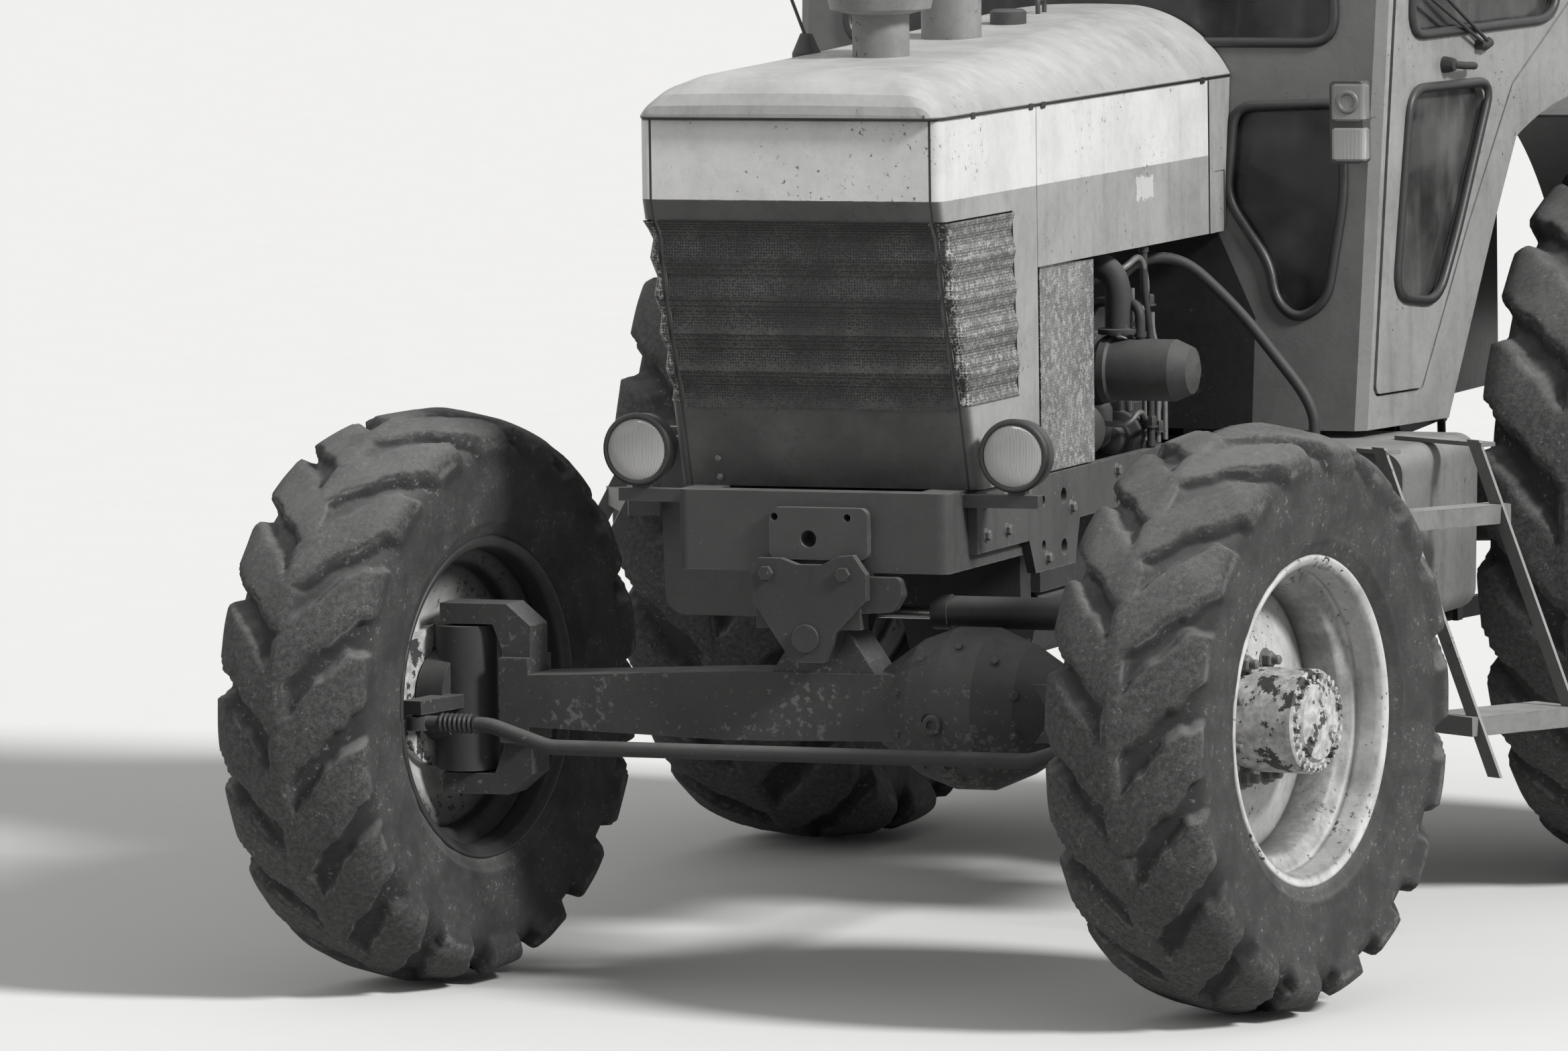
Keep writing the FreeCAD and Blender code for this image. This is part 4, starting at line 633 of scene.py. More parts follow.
def tube(points, radius, sides=10, closed=False):
    path = [Vector(point) for point in points]
    count = len(path)
    normal = None
    rings = []
    for i, point in enumerate(path):
        before = path[i - 1] if (closed or i) else path[0]
        after = path[(i + 1) % count] if (closed or i < count - 1) else path[-1]
        along = (after - before).normalized()
        if normal is None:
            seed = Vector((0, 0, 1)) if abs(along.z) < 0.9 else Vector((1, 0, 0))
            normal = (seed - along * seed.dot(along)).normalized()
        normal = (normal - along * normal.dot(along)).normalized()
        side = along.cross(normal)
        for k in range(sides):
            angle = 2 * math.pi * k / sides
            rings.append(point + (normal * math.cos(angle) + side * math.sin(angle)) * radius)
    faces = gridFaces(count, sides, closed, True)
    if not closed:
        faces.append(list(range(sides)))
        faces.append(list(range((count - 1) * sides, count * sides)))
    return rings, faces


def hexBolt(lump, point, direction, radius, height):  # washer, hexagon with a turned-down crown
    place = facing(point, direction)
    washer = ((0, 0), (0, radius * 1.35), (height * 0.16, radius * 1.3), (height * 0.16, 0))
    head = ((height * 0.12, 0), (height * 0.12, radius), (height * 0.86, radius), (height, radius * 0.84),
            (height, 0))
    for count, section in ((20, washer), (6, head)):
        lump.add(*revolved(section, place, count, False))


# Tyres

tyreShape = {
    "around": 640, "across": 90, "lugs": 18, "seed": 7, "worn": 0.62, "shoulderRise": 1.15,
    "lugWidth": (0.92, 1.06), "lugHeight": (0.90, 1.0), "lugRagged": (0.0, 6.0),
    "ripple": 0.0012, "ridge": 0.0045, "ridgeFromBead": 0.055, "ridgeWidth": 0.007,
    "front": {"radius": 0.677, "half": 0.186, "bead": 0.372, "beadHalf": 0.143, "depth": 0.033, "square": 2.9,
              "crown": 0.165, "shoulder": 0.165, "sweep": 0.135, "bar": 0.052, "edge": 0.010, "drop": 0.055},
    "rear": {"radius": 0.907, "half": 0.245, "bead": 0.501, "beadHalf": 0.188, "depth": 0.044, "square": 3.0,
             "crown": 0.100, "shoulder": 0.220, "sweep": 0.133, "bar": 0.068, "edge": 0.013, "drop": 0.070},
}


def smooth(value):
    value = np.clip(value, 0, 1)
    return value * value * (3 - 2 * value)


def tyreSection(size):                     # bead to bead: along the axle, radius, distance from the crown
    base = size["radius"] - size["depth"] * tyreShape["worn"]
    middle = size["bead"] + 0.56 * (base - size["bead"])
    turn = np.linspace(math.pi / 2, 0, 300)
    power = 2 / size["square"]
    x = size["half"] * np.abs(np.cos(turn)) ** power
    r = middle + (base - middle - size["crown"] * x) * np.sin(turn) ** power
    turn = np.linspace(0, math.pi / 2, 200)[1:]
    x = np.append(x, size["beadHalf"] + (size["half"] - size["beadHalf"]) * np.cos(turn))
    r = np.append(r, middle - (middle - size["bead"]) * np.sin(turn))
    length = np.append(0, np.cumsum(np.hypot(np.diff(x), np.diff(r))))
    steps = np.linspace(0, length[-1], tyreShape["across"] // 2 + 1)
    x, r = np.interp(steps, length, x), np.interp(steps, length, r)
    return [np.concatenate([sign * half[:0:-1], half]) for sign, half in ((-1, x), (1, r), (-1, steps))]


def lugRelief(size, length, turn, random):  # the tread's height over the casing, and its share of the full
    pitch = 2 * math.pi / tyreShape["lugs"]
    count = tyreShape["lugs"]
    height = np.zeros((len(turn), len(length)))
    share = np.zeros_like(height)
    for side in (1, -1):
        along = side * length
        inward = np.clip(along / size["shoulder"], -0.3, 1.0)
        beyond = np.clip((along - size["shoulder"]) / size["drop"], 0, 1)
        lead = size["sweep"] * (2 * inward - 1 + 0.35 * beyond)
        slope = np.abs(np.gradient(lead, np.abs(length[1] - length[0]))) * size["radius"]
        phase = (turn[:, None] - (0 if side > 0 else pitch / 2) - lead[None, :]) / pitch
        lug = np.round(phase).astype(int)
        wide, tall, shift = (random.uniform(*tyreShape[spread], count)[lug % count]
                             for spread in ("lugWidth", "lugHeight", "lugRagged"))
        off = np.abs(phase - lug) * pitch * size["radius"] / np.sqrt(1 + slope[None, :] ** 2)
        half = size["bar"] * (1 + 0.24 * np.clip(inward, 0, 1)[None, :] ** 2) * wide
        half = half + 0.004 * np.sin(along[None, :] * 75 + shift)
        half = half + 0.002 * np.sin(along[None, :] * 190 + 2 * shift)
        bar = smooth((half + size["edge"] - off) / (2 * size["edge"]))
        inner = smooth((along + 0.040) / 0.030)
        outer = 1 - smooth((along - size["shoulder"] - 0.012) / size["drop"])
        bar = bar * (inner * outer)[None, :]
        rise = tyreShape["shoulderRise"] - tyreShape["worn"]
        rise = tyreShape["worn"] + rise * np.clip(inward, 0, 1)[None, :] ** 1.6
        height = np.maximum(height, bar * size["depth"] * tall * rise)
        share = np.maximum(share, bar)
    return height, share


def makeTyre(kind, end, side):
    size = tyreShape[kind]
    random = np.random.RandomState(tyreShape["seed"] + (0 if side > 0 else 1) + (0 if kind == "front" else 2))
    x, r, length = tyreSection(size)
    turn = np.linspace(0, 2 * math.pi, tyreShape["around"], endpoint=False)
    height, share = lugRelief(size, length, turn, random)
    ripple = np.sin(turn[:, None] * 23 + length[None, :] * 40) * np.sin(turn[:, None] * 7 + 1.3)
    fromRidge = length[-1] - np.abs(length) - tyreShape["ridgeFromBead"]
    ridge = tyreShape["ridge"] * np.exp(-(fromRidge / tyreShape["ridgeWidth"]) ** 2)[None, :]
    out = height + (tyreShape["ripple"] * ripple + ridge) * (np.abs(length) > 0.02)[None, :]
    dx, dr = np.gradient(x), np.gradient(r)
    norm = np.hypot(dx, dr)
    across = x[None, :] - out * (dr / norm)[None, :]
    radius = r[None, :] + out * (dx / norm)[None, :]
    radius = np.minimum(radius, size["radius"] - size["crown"] * np.abs(across))
    local = np.stack([across, radius * np.sin(turn)[:, None], radius * np.cos(turn)[:, None]], axis=-1)
    place = np.array(wheelPlace(kind + "_" + end, side))
    points = local.reshape(-1, 3) @ place[:3, :3].T + place[:3, 3]
    faces = gridFaces(len(turn), len(x), True, True)
    if side < 0:
        faces = [face[::-1] for face in faces]
    piece = makePiece(kind + end.capitalize() + "Tyre", points.tolist(), faces, "tyre_black",
                      "wheel_" + kind + "_" + end, 80.0, False)
    tread = 1 - smooth((np.abs(length) - size["shoulder"] - 0.02) / 0.05)
    tread = np.repeat(tread[None, :], len(turn), axis=0)
    for label, values in (("relief", share), ("tread", tread)):
        attribute = piece.data.attributes.new(label, "FLOAT", "POINT")
        attribute.data.foreach_set("value", values.reshape(-1).astype(np.float32))
    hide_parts("tyre_" + kind + "_" + end)


def wheelPlace(name, side):                # X runs out of the tractor, Z up
    joint = joints[name + "_spin"]
    axle = Vector(joint["axis"]).normalized()
    up = Vector((0, 0, 1))
    turn = Matrix((axle * side, up.cross(axle), up)).transposed().to_4x4()
    return Matrix.Translation(Vector(joint["pos_m"])) @ turn


# Rims and hubs

rimShape = {
    "turns": 128, "width": 0.84, "well": 0.070, "studRadius": 0.0200, "studHeight": 0.024,
    "front": {"half": 0.19, "edge": 0.381, "disc": -0.003, "hole": 0.1204, "boltCircle": 0.142, "bolts": 8},
    "rear": {"half": 0.25, "edge": 0.510, "disc": -0.032, "hole": 0.1124, "boltCircle": 0.152, "bolts": 8},
}


def makeRim(kind, end, side):
    size = rimShape[kind]
    place = wheelPlace(kind + "_" + end, side)
    body = "wheel_" + kind + "_" + end
    label = kind + end.capitalize()
    half = size["half"] * rimShape["width"]
    edge = size["edge"]
    well = edge - rimShape["well"]
    barrel = [(half - 0.016, edge - 0.002), (half - 0.004, edge), (half + 0.003, edge - 0.006),
              (half - 0.002, edge - 0.016), (half - 0.013, edge - 0.031), (half * 0.62, edge - 0.034),
              (half * 0.56, edge - 0.028), (half * 0.50, edge - 0.036), (half * 0.42, well + 0.004),
              (half * 0.34, well)]
    outline = barrel + [(-x, r) for x, r in reversed(barrel)]
    outline += [(-half * 0.9, edge - 0.020), (half * 0.9, edge - 0.020)]
    lump = Lump()
    lump.add(*revolved(rounded(outline, 0.009, 3), place, rimShape["turns"]))
    disc, rise, ring = size["disc"], size["half"] * 0.16, size["boltCircle"]
    front = [(disc, size["hole"]), (disc, ring + 0.045),
             (disc - rise, well - 0.042), (disc - rise, well + 0.004)]
    dish = front + [(x + 0.012, r + 0.003) for x, r in reversed(front[1:])] + [(disc + 0.012, size["hole"])]
    lump.add(*revolved(rounded(dish, 0.016, 4), place, rimShape["turns"]))
    rim = makePiece(label + "Rim", lump.points, lump.faces, "rim_paint", body, 50.0)
    out = (place.to_3x3() @ Vector((1, 0, 0))).normalized()
    spokes = [vertex.co - place.translation for vertex in rim.data.vertices]
    depth = np.array([spoke.dot(out) for spoke in spokes])
    away = np.array([(spoke - out * far).length for spoke, far in zip(spokes, depth.tolist())])
    inboard = smooth(depth / -0.03 - 0.2 + disc / 0.03)
    inner = smooth((edge - 0.030 - away) / 0.008) * smooth((away - well + 0.012) / 0.008)
    # A thin ring at the groove under the flange lip is darkened too, as painted shade.
    inner = np.maximum(inner, 1.1 * np.exp(-((away - edge + 0.026) / 0.006) ** 2))
    for mark, values in (("inboard", inboard), ("well", inner)):
        attribute = rim.data.attributes.new(mark, "FLOAT", "POINT")
        attribute.data.foreach_set("value", values.astype(np.float32))
    studs = Lump()
    for i in range(size["bolts"]):
        angle = 2 * math.pi * (i + 0.5) / size["bolts"]
        spot = Vector((disc + 0.011, ring * math.sin(angle), ring * math.cos(angle)))
        hexBolt(studs, place @ spot, out, rimShape["studRadius"], rimShape["studHeight"])
        tip = ((0, 0), (0.043, 0), (0.043, 0.008), (0.040, 0.0110), (0, 0.0110))
        studs.add(*revolved(tip, facing(place @ spot, out), 14, False))
    makePiece(label + "Studs", studs.points, studs.faces, "pad_grey", body)
    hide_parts("rim_" + kind + "_" + end)
    if kind == "rear":
        hub = [(-0.294, 0.046), (-0.294, 0.070), (disc - 0.024, 0.080), (disc - 0.024, 0.180), (disc, 0.180),
               (disc, 0.112), (disc + 0.060, 0.104), (disc + 0.070, 0.090), (disc + 0.070, 0.0),
               (-0.160, 0.0), (-0.160, 0.046)]
        points, faces = revolved(rounded(hub, 0.006, 3), place, 72)
        makePiece(label + "Hub", points, faces, "hub_paint", body)


# Window seals, from outlines on the walls

cab = {
    "front": 1.672, "back": 3.240, "floor": 1.190, "lean": 0.124, "half": 0.740, "spread": 0.18,
    "wide": 2.800,
}
windows = {
    # wall, corner radius, body of its left and right copy, outline (across or back, up)
    "windscreen": ("front", 0.055, None,
                   [(-0.640, 2.130), (0.640, 2.130), (0.600, 2.740), (-0.600, 2.740)]),
    "rearWindow": ("rear", 0.055, None,
                   [(-0.640, 2.160), (0.640, 2.160), (0.620, 2.740), (-0.620, 2.740)]),
    "lowWindow": ("front", 0.040, "chassis",
                  [(0.385, 1.974), (0.664, 1.984), (0.674, 1.752), (0.640, 1.504), (0.566, 1.456),
                   (0.506, 1.502), (0.489, 1.593), (0.373, 1.750)]),
    "doorLowWindow": ("side", 0.055, "door",
                      [(1.836, 1.505), (1.922, 2.010), (2.340, 2.010), (2.150, 1.640), (2.050, 1.480)]),
    "doorHighWindow": ("side", 0.055, "door",
                       [(1.925, 2.140), (1.985, 2.735), (2.700, 2.735), (2.690, 2.200), (2.640, 2.150)]),
    "quarterWindow": ("side", 0.055, "chassis",
                      [(2.840, 2.190), (2.850, 2.735), (3.110, 2.735), (3.110, 2.190)]),
}
sealShape = {"radius": 0.0125, "stand": 0.002, "sides": 10}


def wallPoint(wall, side, a, z, out=0.0):  # a point on the outer face of the cab's wall
    if wall == "front":
        return at(side * a, cab["front"] + cab["lean"] * (z - cab["floor"]) - out, z)
    if wall == "rear":
        return at(side * a, cab["back"] + out, z)
    return at(side * (cab["half"] + cab["spread"] * (min(a, cab["wide"]) - cab["front"]) + out), a, z)


def makeSeals():
    for name, (wall, corner, body, outline) in windows.items():
        for side, end in (((1, "left"),) if body is None else ((1, "left"), (-1, "right"))):
            flat = rounded(outline, corner * 1.25, 6)
            path = [wallPoint(wall, side, a, z, sealShape["stand"]) for a, z in flat]
            points, faces = tube(path, sealShape["radius"], sealShape["sides"], True)
            rider = "door_" + end if body == "door" else "chassis"
            label = name + "Seal" + ("" if body is None else end.capitalize())
            makePiece(label, points, faces, "seal", rider, 60.0)


# Lamps

lampShape = {
    "x": 0.466, "y": 0.030, "z": 1.268, "radius": 0.084, "lens": 0.073, "front": 0.074, "dome": 0.0170,
}


def makeHeadLamps():
    for side, end in ((1, "Left"), (-1, "Right")):
        place = facing(at(side * lampShape["x"], lampShape["y"], lampShape["z"]), (0, -1, 0))
        front, lens, radius = lampShape["front"], lampShape["lens"], lampShape["radius"]
        dome = [(front - 0.004, 0.0), (front - 0.004, lens)]
        for k in range(10, -1, -1):
            turn = k * math.pi / 20
            dome.append((front + lampShape["dome"] * math.cos(turn), lens * math.sin(turn)))
        points, faces = revolved(dome, place, 64, False)
        makePiece("headLens" + end, points, faces, "headLens", "chassis", 60.0)
        ring = [(front - 0.016, radius + 0.0005), (front - 0.002, radius + 0.002),
                (front + 0.006, radius - 0.002), (front + 0.007, lens + 0.001),
                (front + 0.001, lens - 0.002), (front - 0.006, lens - 0.002)]
        points, faces = revolved(rounded(ring, 0.004, 3), place, 64)
        makePiece("headRing" + end, points, faces, "darkSteel", "chassis", 50.0)


def roundedBlock(lump, low, high, radius=0.006, steps=3):
    # A block with rounded upright edges and softened ends, along Z.
    x0, y0, z0 = low
    x1, y1, z1 = high
    rings = []
    for z, inset in ((z0, radius * 0.6), (z0 + radius * 0.6, 0), (z1 - radius * 0.6, 0), (z1, radius * 0.6)):
        left, right, near, far = x0 + inset, x1 - inset, y0 + inset, y1 - inset
        outline = [(left, near), (right, near), (right, far), (left, far)]
        rings.append([Vector((p.x, p.y, z)) for p in rounded(outline, radius, steps)])
    count = len(rings[0])
    faces = gridFaces(len(rings), count, False, True)
    faces += [tuple(range(count)), tuple(range(count * 3, count * 4))]
    lump.add([point for ring in rings for point in ring], faces)


cornerLamp = {
    "x": (0.674, 0.757), "y": (1.646, 1.700), "round": 0.009,
    "lenses": ((1.849, 1.930), (1.946, 2.037)),
    "ringAt": (0.716, 1.646, 1.993), "ring": [(0, 0.016), (0.004, 0.019), (0.004, 0.027), (0, 0.030)],
}


def makeCornerLamps():
    (x0, x1), (y0, y1) = cornerLamp["x"], cornerLamp["y"]
    for side, end in ((1, "Left"), (-1, "Right")):
        lump = Lump()
        for z0, z1 in cornerLamp["lenses"]:
            low, high = at(x0, y0, z0), at(x1, y1, z1)
            roundedBlock(lump, (low.x if side > 0 else -high.x, low.y, low.z),
                         (high.x if side > 0 else -low.x, high.y, high.z), cornerLamp["round"])
        makePiece("cornerLens" + end, lump.points, lump.faces, "cornerLens", "chassis")
        ring = Lump()
        x, y, z = cornerLamp["ringAt"]
        place = facing(at(side * x, y, z), (0, -1, 0))
        ring.add(*revolved(rounded(cornerLamp["ring"], 0.002, 2), place, 32))
        makePiece("cornerRing" + end, ring.points, ring.faces, "paleSteel", "chassis")


# Door furniture, on the outer face of each door: back, up, and how far it stands off

doorParts = {
    "knobAt": (2.100, 2.062), "knob": ((0, 0), (0, 0.021), (0.016, 0.019), (0.030, 0.015), (0.034, 0)),
    "grip": ((2.100, 2.062, 0.026), (2.135, 2.058, 0.036), (2.190, 2.055, 0.034), (2.205, 2.054, 0.022)),
    "latch": ((2.255, 2.105, 0.012), (2.285, 2.100, 0.012), (2.310, 2.108, 0.012)),
    "stays": (((1.985, 2.235, 0.020), (2.270, 2.105, 0.020)), ((2.035, 2.250, 0.020), (2.285, 2.112, 0.020))),
}


def makeDoorFurniture():
    for side, end in ((1, "left"), (-1, "right")):
        lump = Lump()
        knob = facing(wallPoint("side", side, *doorParts["knobAt"]), (side, -0.18, 0))
        lump.add(*revolved(doorParts["knob"], knob, 28, False))
        grip = [wallPoint("side", side, *spot) for spot in doorParts["grip"]]
        lump.add(*tube(rounded(grip, 0.014, 4, False), 0.0095, 12))
        latch = [wallPoint("side", side, *spot) for spot in doorParts["latch"]]
        lump.add(*tube(latch, 0.013, 12))
        body, label = "door_" + end, end.capitalize()
        makePiece("doorHandle" + label, lump.points, lump.faces, "darkSteel", body, 50.0)
        stay = Lump()
        for ends in doorParts["stays"]:
            stay.add(*tube([wallPoint("side", side, *spot) for spot in ends], 0.0045, 8))
        makePiece("windowStay" + label, stay.points, stay.faces, "darkSteel", body)


# Bolts, tabs and small castings on the frame and the hood

frameBolts = {
    "railX": 0.357, "rail": ((0.060, 1.075), (0.060, 1.150), (0.200, 1.075), (0.200, 1.150), (0.330, 1.150),
                             (0.470, 0.985), (0.640, 1.090), (0.960, 1.090), (0.960, 1.150), (1.560, 1.090),
                             (1.560, 1.150)),
    "lampPosts": (-0.015, -0.027), "nose": ((-0.270, 1.205), (-0.270, 1.250)),
    "tabs": (-0.030, 0.355, 0.440, 1.570),
}


def makeFrameBolts():
    steel = Lump()
    for side in (1, -1):
        for y, z in frameBolts["rail"]:
            hexBolt(steel, at(side * frameBolts["railX"], y, z), (side, 0, 0), 0.0125, 0.013)
        for y in frameBolts["lampPosts"]:
            hexBolt(steel, at(side * 0.330, y, 1.176), (0, 0, 1), 0.008, 0.008)
    for x, z in frameBolts["nose"]:
        hexBolt(steel, at(x, -0.012 - (z - 1.185) * 0.24, z), (0, -1, 0.2), 0.006, 0.006)
    makePiece("frameBolts", steel.points, steel.faces, "pad_grey", "chassis")
    tabs = Lump()
    for side in (1, -1):
        for y in frameBolts["tabs"]:
            low, high = at(0.366, y - 0.014, 2.040), at(0.3745, y + 0.014, 2.056)
            xs = (low.x, high.x) if side > 0 else (-high.x, -low.x)
            roundedBlock(tabs, (xs[0], low.y, low.z), (xs[1], high.y, high.z), 0.003, 2)
    makePiece("hoodTabs", tabs.points, tabs.faces, "darkSteel", "chassis")


engineBay = {
    "elbow": ((0.170, 1.020, 1.640), (0.300, 1.020, 1.640), (0.345, 1.020, 1.600), (0.345, 1.020, 1.470)),
    "flange": [(0, 0.0), (0, 0.050), (0.014, 0.050), (0.014, 0.0)],
    # where it starts, how far its corners are rounded, section from there forward
    "turned": (((0.245, 1.420, 1.200), 0.005,
                [(0, 0), (0, 0.052), (0.120, 0.052), (0.126, 0.066), (0.150, 0.066), (0.156, 0.040),
                 (0.200, 0.034), (0.205, 0)]),
               ((0.262, 0.985, 1.245), 0.004,
                [(0, 0), (0, 0.060), (0.030, 0.070), (0.110, 0.070), (0.130, 0.056), (0.136, 0.020),
                 (0.150, 0.020), (0.152, 0.040), (0.160, 0.034), (0.168, 0.040), (0.170, 0)])),
    # middle, bottom, top, half length
    "blocks": ((1.105, 1.405, 1.470, 0.030), (1.180, 1.290, 1.380, 0.034), (1.300, 1.235, 1.300, 0.030)),
    "bowlsAt": ((0.232, 1.180, 1.290), (0.232, 1.300, 1.235)),
    "bowl": [(0, 0), (0, 0.030), (0.012, 0.036), (0.060, 0.036), (0.092, 0.030), (0.108, 0.012), (0.110, 0)],
    "risers": ((1.275, 0.352, 1.640), (1.330, 0.300, 1.560), (1.360, 0.340, 1.500)),
    "loops": ((0.0080, ((0.180, 1.090, 1.560), (0.335, 1.090, 1.620), (0.350, 1.170, 1.655),
                        (0.352, 1.215, 1.560), (0.330, 1.180, 1.472))),
              (0.0075, ((0.262, 1.180, 1.440), (0.320, 1.180, 1.440), (0.345, 1.250, 1.400),
                        (0.350, 1.300, 1.300), (0.330, 1.300, 1.190))),
              (0.0065, ((0.262, 1.105, 1.250), (0.330, 1.120, 1.240), (0.345, 1.170, 1.280),
                        (0.335, 1.260, 1.230), (0.300, 1.380, 1.200)))),
    "cylinders": 6, "firstCylinder": 0.985, "spacing": 0.105,
    "nuts": ((0.352, 1.275, 1.215), (0.332, 1.275, 1.520), (0.300, 1.330, 1.225), (0.350, 1.230, 1.230)),
    "caseBolts": ((0.308, 0.965, 1.350), (0.308, 0.965, 1.420)),
}


def makeCastings():
    castings = Lump()
    elbow = [at(*point) for point in engineBay["elbow"]]
    castings.add(*tube(rounded(elbow, 0.050, 6, False), 0.032, 20))
    flange = rounded(engineBay["flange"], 0.003, 2)
    for spot, direction in ((elbow[0], (1, 0, 0)), (elbow[3], (0, 0, 1))):
        castings.add(*revolved(flange, facing(spot, direction), 28, False))
    for start, corner, section in engineBay["turned"]:
        castings.add(*revolved(rounded(section, corner, 2), facing(at(*start), (0, -1, 0)), 32, False))
    for y, z0, z1, half in engineBay["blocks"]:
        roundedBlock(castings, at(0.165, y - half, z0), at(0.262, y + half, z1), 0.010, 3)
    for spot in engineBay["bowlsAt"]:
        castings.add(*revolved(engineBay["bowl"], facing(at(*spot), (0, 0, -1)), 24, False))
    makePiece("engineCastings", castings.points, castings.faces, "cast_grey", "chassis", 45.0)


def makePipes():
    pipes = Lump()
    for i in range(engineBay["cylinders"]):
        y = engineBay["firstCylinder"] + engineBay["spacing"] * i
        line = [at(0.160, y, 1.405), at(0.200, y, 1.440), at(0.235, y + 0.02, 1.420),
                at(0.250, 1.300 + 0.014 * i, 1.340), at(0.250, 1.310 + 0.014 * i, 1.258)]
        pipes.add(*tube(rounded(line, 0.030, 5, False), 0.0038, 8))
    for y, x, top in engineBay["risers"]:
        line = [at(x, y, 1.190), at(x, y, 1.360), at(x - 0.02, y - 0.03, 1.450), at(x - 0.02, y - 0.03, top)]
        pipes.add(*tube(rounded(line, 0.040, 5, False), 0.0075, 10))
    for radius, route in engineBay["loops"]:
        pipes.add(*tube(rounded([at(*point) for point in route], 0.040, 6, False), radius, 10))
    makePiece("enginePipes", pipes.points, pipes.faces, "paleSteel", "chassis", 50.0)


def makeFittings():
    fittings = Lump()
    for spot in engineBay["nuts"]:
        hexBolt(fittings, at(*spot), (0, 0, 1), 0.014, 0.028)
    for i in range(engineBay["cylinders"]):
        y = engineBay["firstCylinder"] + engineBay["spacing"] * i
        hexBolt(fittings, at(0.156, y, 1.400), (0.4, 0, 1), 0.009, 0.018)
    for spot in engineBay["caseBolts"]:
        hexBolt(fittings, at(*spot), (1, 0, 0), 0.010, 0.012)
    makePiece("engineFittings", fittings.points, fittings.faces, "darkSteel", "chassis")


# Hoses, with the bends eased

hoseRuns = {
    # radius, how far a bend is eased, points
    "cabHose": (0.0140, 0.09, [(0.161, 1.300, 1.375), (0.222, 1.300, 1.380), (0.235, 1.320, 1.610),
                               (0.360, 1.410, 1.640), (0.500, 1.452, 1.500), (0.690, 1.452, 1.270),
                               (0.690, 1.452, 1.173)]),
    "hoodHose": (0.0095, 0.05, [(0.350, 1.190, 1.671), (0.350, 1.190, 1.560), (0.350, 1.232, 1.450),
                                (0.350, 1.230, 1.181)]),
    "filterHose": (0.0125, 0.05, [(0.161, 1.120, 1.375), (0.240, 1.120, 1.375), (0.240, 1.120, 1.540),
                                  (0.400, 1.020, 1.545), (0.400, 1.020, 1.460)]),
}


def makeHoses():
    for name, (radius, ease, route) in hoseRuns.items():
        lump = Lump()
        path = rounded([at(*point) for point in route], ease, 8, False)
        lump.add(*tube(path, radius, 14))
        for end, inner in ((path[0], path[1]), (path[-1], path[-2])):
            along = (inner - end).normalized()
            collar = [(0.004, radius), (0.004, radius + 0.003), (0.016, radius + 0.003), (0.016, radius)]
            lump.add(*revolved(collar, facing(end, along), 18))
        makePiece(name, lump.points, lump.faces, "hose_rubber", "chassis", 60.0)
    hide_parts("hoses")


# Boots on the tie rod, plugs and bolts on the differential's case

axleParts = {
    "boot": (0.0245, 0.0195), "folds": 7, "fold": 0.012,
    "caseX": 0.340, "caseBolts": 10, "caseRing": 0.150,
    "plugs": ((0.300, 0.655, 0.024), (0.325, 0.560, 0.018)),
}


def onAxle(x, z):                          # the spot on the front of the axle, as seen from ahead
    return nodes["front_axle"].ray_cast(at(x, -1.0, z), Vector((0, 1, 0)))


def makeAxleDetails():
    boots = Lump()
    wide, narrow = axleParts["boot"]
    left = Vector(joints["tie_rod_swing"]["pos_m"])
    right = Vector((left.x - 2 * kingpin.x, left.y, left.z))
    for spot, direction in ((left, -1), (right, 1)):
        section = [(0.060, 0.0)]
        for k in range(axleParts["folds"]):
            section += [(0.062 + axleParts["fold"] * k, wide), (0.068 + axleParts["fold"] * k, narrow)]
        section += [(0.146, wide), (0.150, 0.0)]
        boots.add(*revolved(rounded(section, 0.002, 2), facing(spot, (direction, 0, 0)), 24, False))
    makePiece("tieRodBoots", boots.points, boots.faces, "seal", "tie_rod", 60.0)
    plugs = Lump()
    for x, z, radius in axleParts["plugs"]:
        found, spot, normal, face = onAxle(x, z)
        if found:
            ring = [(-0.006, radius), (0.006, radius), (0.010, radius * 0.85), (0.010, radius * 0.55),
                    (0.002, radius * 0.50), (0.002, 0.0), (-0.006, 0.0)]
            plugs.add(*revolved(ring, facing(spot, normal), 28))
    for i in range(axleParts["caseBolts"]):
        angle = 2 * math.pi * (i + 0.5) / axleParts["caseBolts"]
        found, spot, normal, face = onAxle(axleParts["caseX"] + axleParts["caseRing"] * math.cos(angle),
                                           kingpinHeight + axleParts["caseRing"] * math.sin(angle))
        if found and normal.y < -0.25:
            hexBolt(plugs, spot, normal, 0.010, 0.009)
    makePiece("axlePlugs", plugs.points, plugs.faces, "axleIron", "chassis")


# Seat, as two stuffed pads

seatShape = {
    "cushion": {"low": (-0.245, 2.505, 1.565), "high": (0.245, 2.900, 1.652), "lean": 0.0},
    "back": {"low": (-0.225, 2.875, 1.670), "high": (0.225, 2.925, 2.130), "lean": 0.165},
    "round": 0.026, "voxel": 0.010, "pressure": 4.0, "frames": 20, "cap": 0.014, "fill": 0.75,
    "channels": 3, "sewn": 0.007, "drawn": 0.012,
}


